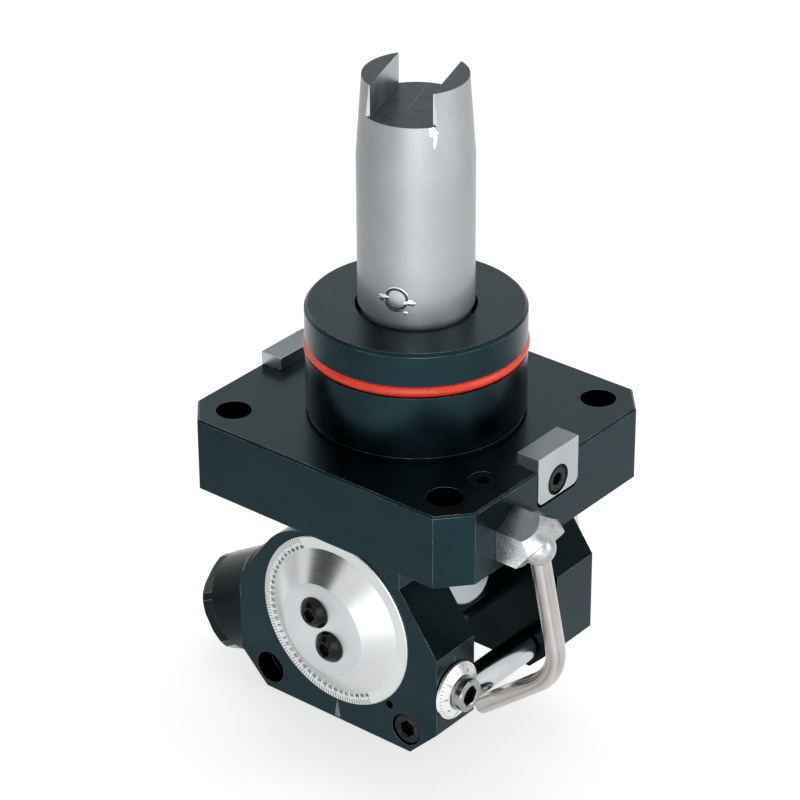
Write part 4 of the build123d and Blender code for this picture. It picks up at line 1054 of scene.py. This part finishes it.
@dataclass
class Holder:
    """The flange with its pilot and fork, and all that is fixed to it.

    Lengths are millimetres. The cheeks start under the flange. The tie bar stands at its centre in
    the front axes. The pointer and the index line are given by their corners on the cheeks' faces.
    """

    nodes: dict[str, bpy.types.Object]
    cheek_top: float = -20.5
    cheek_face: float = 32.0
    bar_centre: tuple[float, float] = (22.3, -23.3)
    bar_radius: float = 4.0
    bar_half_length: float = 17.1
    bar_edge: float = 0.7
    pointer: tuple[tuple[float, float], ...] = ((0.0, -23.4), (-0.95, -28.9), (0.95, -28.9))
    index: tuple[tuple[float, float], ...] = ((-0.12, 7.9), (0.12, 7.9), (0.12, 9.6), (-0.12, 9.6))

    def build(self) -> None:
        """Dresses the body and makes the keys, the tie bar, the screws, the seal and the marks."""
        # The extra finish paints shade inside the fork and on the cheeks' upper slopes; the edge
        # finish is partly wear and partly painted edge highlight
        DressedNode("flange_body", "holder", BLACK_OXIDE, WORN_AND_HIGHLIGHT_EDGE, 0.16, (BLACK_OXIDE_PAINTED_SHADE,),
                    self._body_zones).build(self.nodes["flange_body"])
        for side in ("back", "nose"):
            # The key's top is painted shade and its ends a painted highlight
            DressedNode(f"driving_key_{side}", "holder", KEY_STEEL, BRIGHT_STEEL, 0.14,
                        (KEY_TOP_SHADE_AND_SCRATCH, KEY_END_HIGHLIGHT), self._key_zones
                        ).build(self.nodes[f"driving_key_{side}"])
        self._tie_bar()
        DressedNode("pilot_seal_ring", "holder", RED_SEAL).build(self.nodes["pilot_seal_ring"])
        SocketScrew("key_screw_back", "holder", Facing.RIGHT, 4.0, 2.6, 3.0, 1.9, turn=12.0).build()
        SocketScrew("key_screw_nose", "holder", Facing.LEFT, 4.0, 2.6, 3.0, 1.9, turn=25.0).build()
        SocketScrew("tie_screw_front", "holder", Facing.FRONT, 5.0, 5.0, 4.0, 2.6, turn=8.0).build()
        SocketScrew("tie_screw_rear", "holder", Facing.REAR, 5.0, 5.0, 4.0, 2.6, turn=20.0).build()
        self._marks()

    def _body_zones(self, middles: np.ndarray, normals: np.ndarray) -> np.ndarray:
        """Sends the rear cheek's inner side and the cheeks' upper slopes to the blacker oxide,
        which is painted shade.

        Args:
            middles: The faces' middles in millimetres.
            normals: Their normals.

        Returns:
            A finish's number for each face.
        """
        below = middles[:, 2] < self.cheek_top
        inner = (normals[:, 1] < -FACING_SHARE) & (middles[:, 1] > 0.0)
        slope = (normals[:, 0] > 0.3) & (normals[:, 2] > 0.2)
        return np.where(below & (inner | slope), 2, 0)

    def _key_zones(self, middles: np.ndarray, normals: np.ndarray) -> np.ndarray:
        """Sends level faces to the top's finish, painted shade, and the two ends to the end's
        finish, a painted highlight.

        Args:
            middles: The faces' middles, which don't matter here.
            normals: Their normals.

        Returns:
            A finish's number for each face.
        """
        facing = np.abs(normals) > FACING_SHARE
        return np.select([facing[:, 2], facing[:, 1]], [2, 3], 0)

    def _tie_bar(self) -> None:
        """Turns the bar with a chamfer at each end."""
        radius, half, edge = self.bar_radius, self.bar_half_length, self.bar_edge
        rows = [(0.0, -half), (radius - edge, -half), (radius, edge - half), (radius, half - edge),
                (radius - edge, half), (0.0, half)]
        grid = revolve(rows, FRONT, 96, self.bar_centre)
        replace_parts(surface("tie_bar_turned", [grid], [BAR_STEEL], "holder"), "tie_bar")

    def _marks(self) -> None:
        """Cuts the pointer under the dial and the index line above the vernier knob."""
        for name, axes, corners in (("dial_pointer", FRONT, self.pointer),
                                    ("vernier_index", WORM, self.index)):
            mark = Engraving(name, "holder", INDEX_MARK, axes, Slope.level(self.cheek_face))
            mark.prism(np.array(corners))
            mark.build()


@dataclass(frozen=True)
class Spot:
    """A spot on the sleeve, in degrees round it and millimetres: the stake marks are smeared metal,
    the spots near the slot partly wear and partly painted highlight.

    The phase turns the waves of its rim, so that no two spots are alike.
    """

    name: str
    azimuth: float
    height: float
    half_width: float
    half_height: float
    lift: float
    phase: float


@dataclass(frozen=True)
class Ring:
    """A raised ring round the pin, or an arc if it has a span, in millimetres and degrees."""

    name: str
    radius: float
    width: float
    lift: float
    finish: Finish
    span: tuple[float, float] | None = None


# The gap round the staked pin, painted shade, its burrs, the smeared stake marks beside it, and
# near the slot two bright spots that are partly wear and partly painted highlight
PIN_RINGS = (Ring("pin_gap", 2.66, 0.62, 0.05, PIN_GAP_SHADE),
             Ring("stake_burr_low", 3.2, 0.5, 0.12, WEAR_AND_HIGHLIGHT_STEEL, (170.0, 310.0)),
             Ring("stake_burr_high", 3.15, 0.26, 0.08, WEAR_AND_HIGHLIGHT_STEEL, (20.0, 140.0)))
SLEEVE_SPOTS = (Spot("stake_left", -84.6, 36.3, 1.3, 0.95, 0.16, 0.3),
                Spot("stake_right", -57.4, 35.7, 1.2, 0.9, 0.16, 1.7),
                Spot("stake_low", -61.5, 33.0, 0.5, 0.45, 0.12, 0.6),
                Spot("wear_and_glint_spot", -33.6, 80.0, 1.3, 0.95, 0.03, 4.2),
                Spot("wear_and_glint_run", -31.8, 78.3, 0.38, 2.5, 0.03, 0.9))
# A spot's dome: how far out each row lies, and how high it stands as a share of the spot's lift
DOME_REACH = np.array([0.0, 0.35, 0.65, 0.85, 1.0, 1.0, 0.0])[:, None]
DOME_RISE = np.array([1.0, 0.85, 0.55, 0.3, 0.1, -1.0, -1.0])[:, None]
# A ring's section: how far across each row lies, and how high as a share of the ring's lift
RING_ACROSS = np.array([-0.5, -0.5, 0.5, 0.5, -0.5])[:, None]
RING_RISE = np.array([-1.0, 1.0, 0.6, -1.0, -1.0])[:, None]


@dataclass
class DriveShaft:
    """The slotted drive end with its staked cross pin, in millimetres and degrees.

    The taper starts at a height and ends at the top. The scratch is given by its corners on the
    slot's floor.
    """

    nodes: dict[str, bpy.types.Object]
    radius: float = 14.4
    tip_radius: float = 12.9
    taper_start: float = 68.8
    top: float = 89.4
    slot_floor: float = 81.2
    slot_reach: float = 8.0
    near: float = 0.3
    pin_azimuth: float = -70.5
    pin_height: float = 36.4
    scratch: tuple[tuple[float, float], ...] = ((0.25, -3.57), (0.33, -3.55), (-4.52, 8.85),
                                                (-4.6, 8.83))

    def build(self) -> None:
        """Dresses the sleeve and its pin, then adds the stake marks and the bright spots of wear
        and painted highlight.
        """
        # The slot's floor and the prongs' tops are painted shade, the trimmed edges a painted
        # highlight
        DressedNode("drive_sleeve", "drive_shaft", SHAFT_STEEL, BRIGHT_STEEL, 0.16,
                    (SLOT_FLOOR_SHADE, PRONG_TOP_SHADE, SLOT_WALL, TRIM_STEEL_HIGHLIGHT), self._sleeve_zones
                    ).build(self.nodes["drive_sleeve"])
        DressedNode("cross_pin", "drive_shaft", BRIGHT_STEEL, None, 0.3
                    ).build(self.nodes["cross_pin"])
        for ring in PIN_RINGS:
            self._ring(ring)
        for spot in SLEEVE_SPOTS:
            self._spot(spot)
        self._scratch()

    def _sleeve_zones(self, middles: np.ndarray, normals: np.ndarray) -> np.ndarray:
        """Sorts faces into the slot's floor, the prongs' tops, the slot's walls and trimmed edges;
        the floor and the tops get painted shade, the trimmed edges a painted highlight.

        Args:
            middles: The faces' middles in millimetres.
            normals: Their normals.

        Returns:
            A finish's number for each face.
        """
        along, across = np.array(SLOT.x_dir), np.array(SLOT.y_dir)
        height = middles[:, 2]
        level = normals[:, 2] > FACING_SHARE
        cut = (height > self.slot_floor) & (np.abs(normals[:, 2]) < 0.05)
        inside = np.abs(middles @ across) < self.slot_reach
        return np.select([level & (np.abs(height - self.slot_floor) < self.near),
                          level & (height > self.top - self.near),
                          cut & (np.abs(normals @ across) > SQUARE_SHARE) & inside,
                          cut & (np.abs(normals @ along) > SQUARE_SHARE)], [2, 3, 4, 5], 0)

    def _on_sleeve(self, azimuth: np.ndarray, height: np.ndarray, lift: np.ndarray) -> np.ndarray:
        """Places points on the sleeve, whose radius falls evenly above the taper's start.

        Args:
            azimuth: Angles in radians.
            height: Heights in millimetres.
            lift: How far each point stands off the surface, in millimetres.

        Returns:
            Points in the model's frame.
        """
        share = np.clip((height - self.taper_start) / (self.top - self.taper_start), 0.0, 1.0)
        radius = self.radius + share * (self.tip_radius - self.radius) + lift
        return SHAFT.place(np.stack([radius * np.cos(azimuth), radius * np.sin(azimuth), height],
                                    axis=-1))

    def _spot(self, spot: Spot) -> None:
        """Adds a spot: an ellipse whose rim wanders as a sum of three sines, a little domed.

        Args:
            spot: The spot.
        """
        angle = around(48)[None, :]
        rim = (1.0 + 0.22 * np.sin(2 * angle + spot.phase)
               + 0.16 * np.sin(3 * angle + 2 * spot.phase) + 0.12 * np.sin(7 * angle + spot.phase))
        sideways = DOME_REACH * rim * spot.half_width * np.cos(angle)
        upwards = DOME_REACH * rim * spot.half_height * np.sin(angle)
        grid = self._on_sleeve(math.radians(spot.azimuth) + sideways / self.radius,
                               spot.height + upwards,
                               np.broadcast_to(DOME_RISE * spot.lift, sideways.shape))
        # Bright steel: wear on the stake marks, and partly wear, partly painted highlight on the
        # spots near the slot
        surface(spot.name, [grid], [WEAR_AND_HIGHLIGHT_STEEL], "drive_shaft", sharp=60.0)

    def _scratch(self) -> None:
        """Adds the fine light line that a cutter left across the slot's floor."""
        line = Engraving("slot_scratch", "drive_shaft", KEY_TOP_SHADE_AND_SCRATCH, SHAFT,
                         Slope.level(self.slot_floor), 0.01)
        line.prism(np.array(self.scratch))
        line.build()

    def _ring(self, ring: Ring) -> None:
        """Adds a raised ring round the pin, or an arc that thins out to nothing at both ends.

        Args:
            ring: The ring.
        """
        if ring.span is None:
            angle = around(64)[None, :]
            swell = np.ones_like(angle)
        else:
            share = np.linspace(0.0, 1.0, 49)[None, :]
            angle = np.radians(ring.span[0] + share * (ring.span[1] - ring.span[0]))
            swell = np.sqrt(np.sin(np.pi * share).clip(0.0))
        reach = ring.radius + RING_ACROSS * ring.width * swell
        grid = self._on_sleeve(math.radians(self.pin_azimuth) + reach * np.cos(angle) / self.radius,
                               self.pin_height + reach * np.sin(angle),
                               RING_RISE * ring.lift * swell)
        surface(ring.name, [grid], [ring.finish], "drive_shaft", closed=ring.span is None,
                sharp=60.0)


@dataclass
class SwivelHead:
    """The swinging drum with its dials, its snout and its collet nut, in millimetres and degrees.

    The dial's heights are its back, its ring's face and its flat top. Its ring runs from the rim in
    to the ring radius, its cone from there to the flat radius.
    """

    nodes: dict[str, bpy.types.Object]
    dial_back: float = 31.0
    dial_face: float = 32.6
    dial_top: float = 37.5
    rim_radius: float = 23.15
    rim_edge: float = 0.2
    ring_radius: float = 19.95
    flat_radius: float = 12.5
    flat_edge: tuple[float, float, float] = (0.12, 0.08, 0.1)
    rear_top: float = 40.0
    rear_edge: float = 1.6
    zero_angle: float = 210.0
    line_width: float = 0.16
    line_end: float = 22.9
    short_line: float = 21.7
    long_line: float = 21.2
    number_radius: float = 20.45
    number_size: float = 1.2
    number_bold: float = 0.045
    columns: int = 192

    def build(self) -> None:
        """Dresses the housing, cover and nut, and makes both dials, the scale and the screws."""
        # The edge finish on the housing and the nut is partly wear and partly painted edge
        # highlight
        DressedNode("swivel_housing", "swivel_head", BLACK_OXIDE_HEAD, WORN_AND_HIGHLIGHT_EDGE, 0.16).build(
            self.nodes["swivel_housing"])
        DressedNode("rear_cover", "swivel_head", COVER_ALUMINIUM).build(self.nodes["rear_cover"])
        DressedNode("collet_nut", "spindle", BLACK_OXIDE_HEAD, WORN_AND_HIGHLIGHT_EDGE, 0.14, angle=11.0).build(
            self.nodes["collet_nut"])
        self._front_dial()
        self._rear_dial()
        self._scale()
        for number in (1, 2):
            SocketScrew(f"dial_screw_{number}", "swivel_head", Facing.FRONT, 4.0, 2.2, 3.0, 1.3,
                        True, 20.0 * number).build()
        for number in (1, 2, 3):
            SocketScrew(f"rear_dial_screw_{number}", "swivel_head", Facing.REAR, 3.0, 1.7, 2.0,
                        1.0, True, 17.0 * number).build()

    def _front_dial(self) -> None:
        """Turns the dial: back and rim, matt ring, cone and flat, each with its own finish.

        The cone's height rises evenly from the ring to the flat, whose edge is broken by a small
        step: so far out, so far down and so far in.
        """
        back, face, top = self.dial_back, self.dial_face, self.dial_top
        rim, ring, flat = self.rim_radius, self.ring_radius, self.flat_radius
        out, down, inside = self.flat_edge
        cone = [(radius, face + (ring - radius) / (ring - flat) * (top - face))
                for radius in np.linspace(ring, flat + out, 8)]
        edge = self.rim_edge
        profiles = [[(0.0, back), (rim, back), (rim, face - edge), (rim - edge, face)],
                    [(rim - edge, face), (ring, face)],
                    cone,
                    [(flat + out, top - down), (flat - inside, top), (flat * 0.66, top),
                     (flat * 0.33, top), (0.0, top)]]
        grids = [revolve(rows, FRONT, self.columns) for rows in profiles]
        dial = surface("angle_dial_turned", grids, [DIAL_RING, DIAL_CONE, DIAL_FLAT], "swivel_head",
                       [0, 0, 1, 2], sharp=24.0)
        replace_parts(dial, "angle_dial")

    def _rear_dial(self) -> None:
        """Turns the plain cover on the rear cheek."""
        rim, high, edge = self.rim_radius, self.rear_top, self.rear_edge
        rows = [(0.0, self.dial_back), (rim, self.dial_back), (rim, high - edge),
                (rim - edge, high)]
        rows += [(radius, high) for radius in np.linspace(rim - edge, 0.0, 6)[1:]]
        dial = surface("rear_dial_turned", [revolve(rows, REAR, self.columns)], [DIAL_FLAT],
                       "swivel_head", sharp=24.0)
        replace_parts(dial, "rear_dial")

    def _scale(self) -> None:
        """Cuts a line for every second degree, longer at tens, and a number at every fifth."""
        scale = Engraving("dial_scale", "swivel_head", SCALE_INK, FRONT,
                          Slope.level(self.dial_face), bold=self.number_bold)
        for degree in range(-90, 91, 2):
            start = self.short_line if degree % 10 else self.long_line
            scale.tick(self.zero_angle + degree, start, self.line_end, self.line_width)
        for degree in range(-90, 91, 5):
            scale.number(str(abs(degree)), self.zero_angle + degree, self.number_radius,
                         self.number_size)
        scale.build()


@dataclass
class VernierKnob:
    """The small graduated knob on the worm, with a hexagon socket, in millimetres and degrees.

    Its heights are the base, the rim's and the cone's tops and the hub's top. The socket is given
    by its width, its depth and its drill point's depth.
    """

    base: float = 32.3
    rim_top: float = 33.0
    cone_top: float = 34.2
    top: float = 37.1
    rim_radius: float = 7.6
    cone_radius: float = 4.7
    hub_radius: float = 4.3
    hub_edge: float = 0.35
    socket: float = 4.7
    socket_edge: float = 0.25
    socket_depth: float = 2.4
    point_depth: float = 2.9
    first_angle: float = 58.0
    line_step: float = 8.0
    line_width: float = 0.12
    line_end: float = 7.35
    short_line: float = 6.7
    long_line: float = 6.4
    number_step: float = 40.0
    number_radius: float = 5.62
    number_size: float = 1.45
    columns: int = 96

    def build(self) -> None:
        """Turns the knob and cuts its numbers, one for each degree of swing, and its lines."""
        rim, cone, hub, top = self.rim_radius, self.cone_radius, self.hub_radius, self.top
        hollow = hexagon(self.socket, self.columns, math.radians(30.0))
        mouth = (hollow, top - self.socket_edge)
        profiles = [[(0.0, self.base), (rim, self.base), (rim, self.rim_top)],
                    [(rim, self.rim_top), (cone, self.cone_top)],
                    [(cone, self.cone_top), (hub, self.cone_top), (hub, top - self.hub_edge),
                     (hub - self.hub_edge, top), (self.socket * 0.6, top), mouth],
                    [mouth, (hollow, top - self.socket_depth), (0.0, top - self.point_depth)]]
        grids = [revolve(rows, WORM, self.columns) for rows in profiles]
        # The hub's grey is a painted reflection and the socket's dark a painted shade
        knob = surface("vernier_knob_turned", grids, [KNOB_FACE, KNOB_HUB_REFLECTION, KNOB_SOCKET_SHADE], "worm",
                       [0, 0, 1, 2], sharp=20.0)
        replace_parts(knob, "vernier_dial")
        scale = Engraving("vernier_scale", "worm", SCALE_INK, WORM,
                          Slope((rim, self.rim_top), (cone, self.cone_top)))
        for step in range(45):
            start = self.short_line if step % 5 else self.long_line
            scale.tick(self.first_angle + self.line_step * step, start, self.line_end,
                       self.line_width)
        for digit in range(9):
            scale.number(str(digit), self.first_angle + self.number_step * digit,
                         self.number_radius, self.number_size)
        scale.build()


@dataclass
class Coolant:
    """The outlet and its bent pipe, in millimetres.

    The pipe runs from the outlet's ball to the knee, where it bends, and on to its tip. It starts a
    little away from the ball's middle. Its open end is rounded by a lip, so far in and so far out.
    """

    nodes: dict[str, bpy.types.Object]
    ball: Triple = (51.4, -17.4, -13.6)
    knee: Triple = (50.0, -5.7, -56.3)
    tip: Triple = (21.7, 0.0, -80.6)
    bend_radius: float = 24.0
    start: float = 1.8
    outer: float = 2.5
    inner: float = 1.6
    lip: tuple[float, float] = (0.15, 0.12)

    def build(self) -> None:
        """Dresses the outlet and makes the pipe."""
        # The edge finish paints highlights on the outlet's broken edges; the upper flats get
        # painted shade and the lower flats painted light
        DressedNode("coolant_outlet", "coolant_elbow", FITTING_BRIGHT, WEAR_AND_HIGHLIGHT_STEEL, 0.16,
                    (FITTING_UPPER_SHADE, FITTING_LOWER_PAINTED_LIGHT), self._outlet_zones
                    ).build(self.nodes["coolant_outlet"])
        self._pipe()

    def _outlet_zones(self, middles: np.ndarray, normals: np.ndarray) -> np.ndarray:
        """Sends the hexagon's upper flats to the grey finish, painted shade, and the lower ones to
        the speckled one, painted light.

        Args:
            middles: The faces' middles, which don't matter here.
            normals: Their normals.

        Returns:
            A finish's number for each face.
        """
        flat = np.abs(normals[:, 0]) < 0.02
        return np.select([flat & (normals[:, 2] > 0.1), flat], [2, 3], 0)

    def _pipe(self) -> None:
        """Carries two circles along two straight runs joined by an arc, and closes both ends.

        The arc starts and ends at the bend radius times the tangent of half the turn from the knee.
        Each section lies square to the path, between the path's own side direction and the plane's
        normal.
        """
        ball, knee, tip = (np.array(point) for point in (self.ball, self.knee, self.tip))
        before, after = unit(knee - ball), unit(tip - knee)
        turn = math.acos(float(before @ after))
        reach = self.bend_radius * math.tan(turn / 2)
        normal = unit(np.cross(before, after))
        inward = np.cross(normal, before)
        bend = np.linspace(0.0, turn, 25)[:, None]
        arc = (knee - before * reach + self.bend_radius
               * (np.sin(bend) * before + (1.0 - np.cos(bend)) * inward))
        path = np.concatenate([(ball + before * self.start)[None, :], arc, tip[None, :]])
        ahead = np.concatenate([before[None, :], np.cos(bend) * before + np.sin(bend) * inward,
                                after[None, :]])
        side = np.cross(normal, ahead)
        angle = around(48)[None, :, None]
        spread = np.cos(angle) * side[:, None, :] + np.sin(angle) * normal
        outer = path[:, None, :] + (self.outer * spread)
        inner = path[:, None, :] + (self.inner * spread)
        lip = path[-1:, None, :] + ((self.outer - self.lip[0]) * spread[-1:]) + self.lip[1] * after
        grid = np.concatenate([outer, lip, inner[::-1], outer[:1]]) * MM
        pipe = surface("coolant_pipe_drawn", [grid], [TUBE_STAINLESS], "coolant_elbow", sharp=40.0)
        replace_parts(pipe, "coolant_pipe")


@dataclass
class CarriedSolids:
    """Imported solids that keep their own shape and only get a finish."""

    nodes: dict[str, bpy.types.Object]
    by_slot: dict[str, Finish] = field(default_factory=lambda: {
        "black_oxide_steel": BLACK_OXIDE, "ground_steel": KEY_STEEL, "bearing_steel": BRIGHT_STEEL,
        "dial_aluminium": COVER_ALUMINIUM, "black_screw_steel": SCREW_BLACK,
        "stainless_pipe": TUBE_STAINLESS, "nickel_fitting": FITTING_BRIGHT, "bronze": BUSH_BRONZE,
        "red_rubber": RED_SEAL, "black_rubber": BLACK_SEAL})

    def build(self, record: dict[str, Any]) -> None:
        """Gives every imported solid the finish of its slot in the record.

        Args:
            record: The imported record.
        """
        for entry in record["subparts"]:
            node = self.nodes[entry["node"]]
            finish = self.by_slot[entry["material_slot"]].build()
            for number in range(len(node.material_slots)):
                node.material_slots[number].material = finish


def main() -> None:
    """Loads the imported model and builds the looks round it."""
    logging.basicConfig(level=logging.INFO, format="%(message)s")
    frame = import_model()
    nodes = frame["nodes"]
    CarriedSolids(nodes).build(frame["record"])
    Holder(nodes).build()
    DriveShaft(nodes).build()
    SwivelHead(nodes).build()
    VernierKnob().build()
    Coolant(nodes).build()
    Studio().build()


if __name__ == "__main__":
    main()
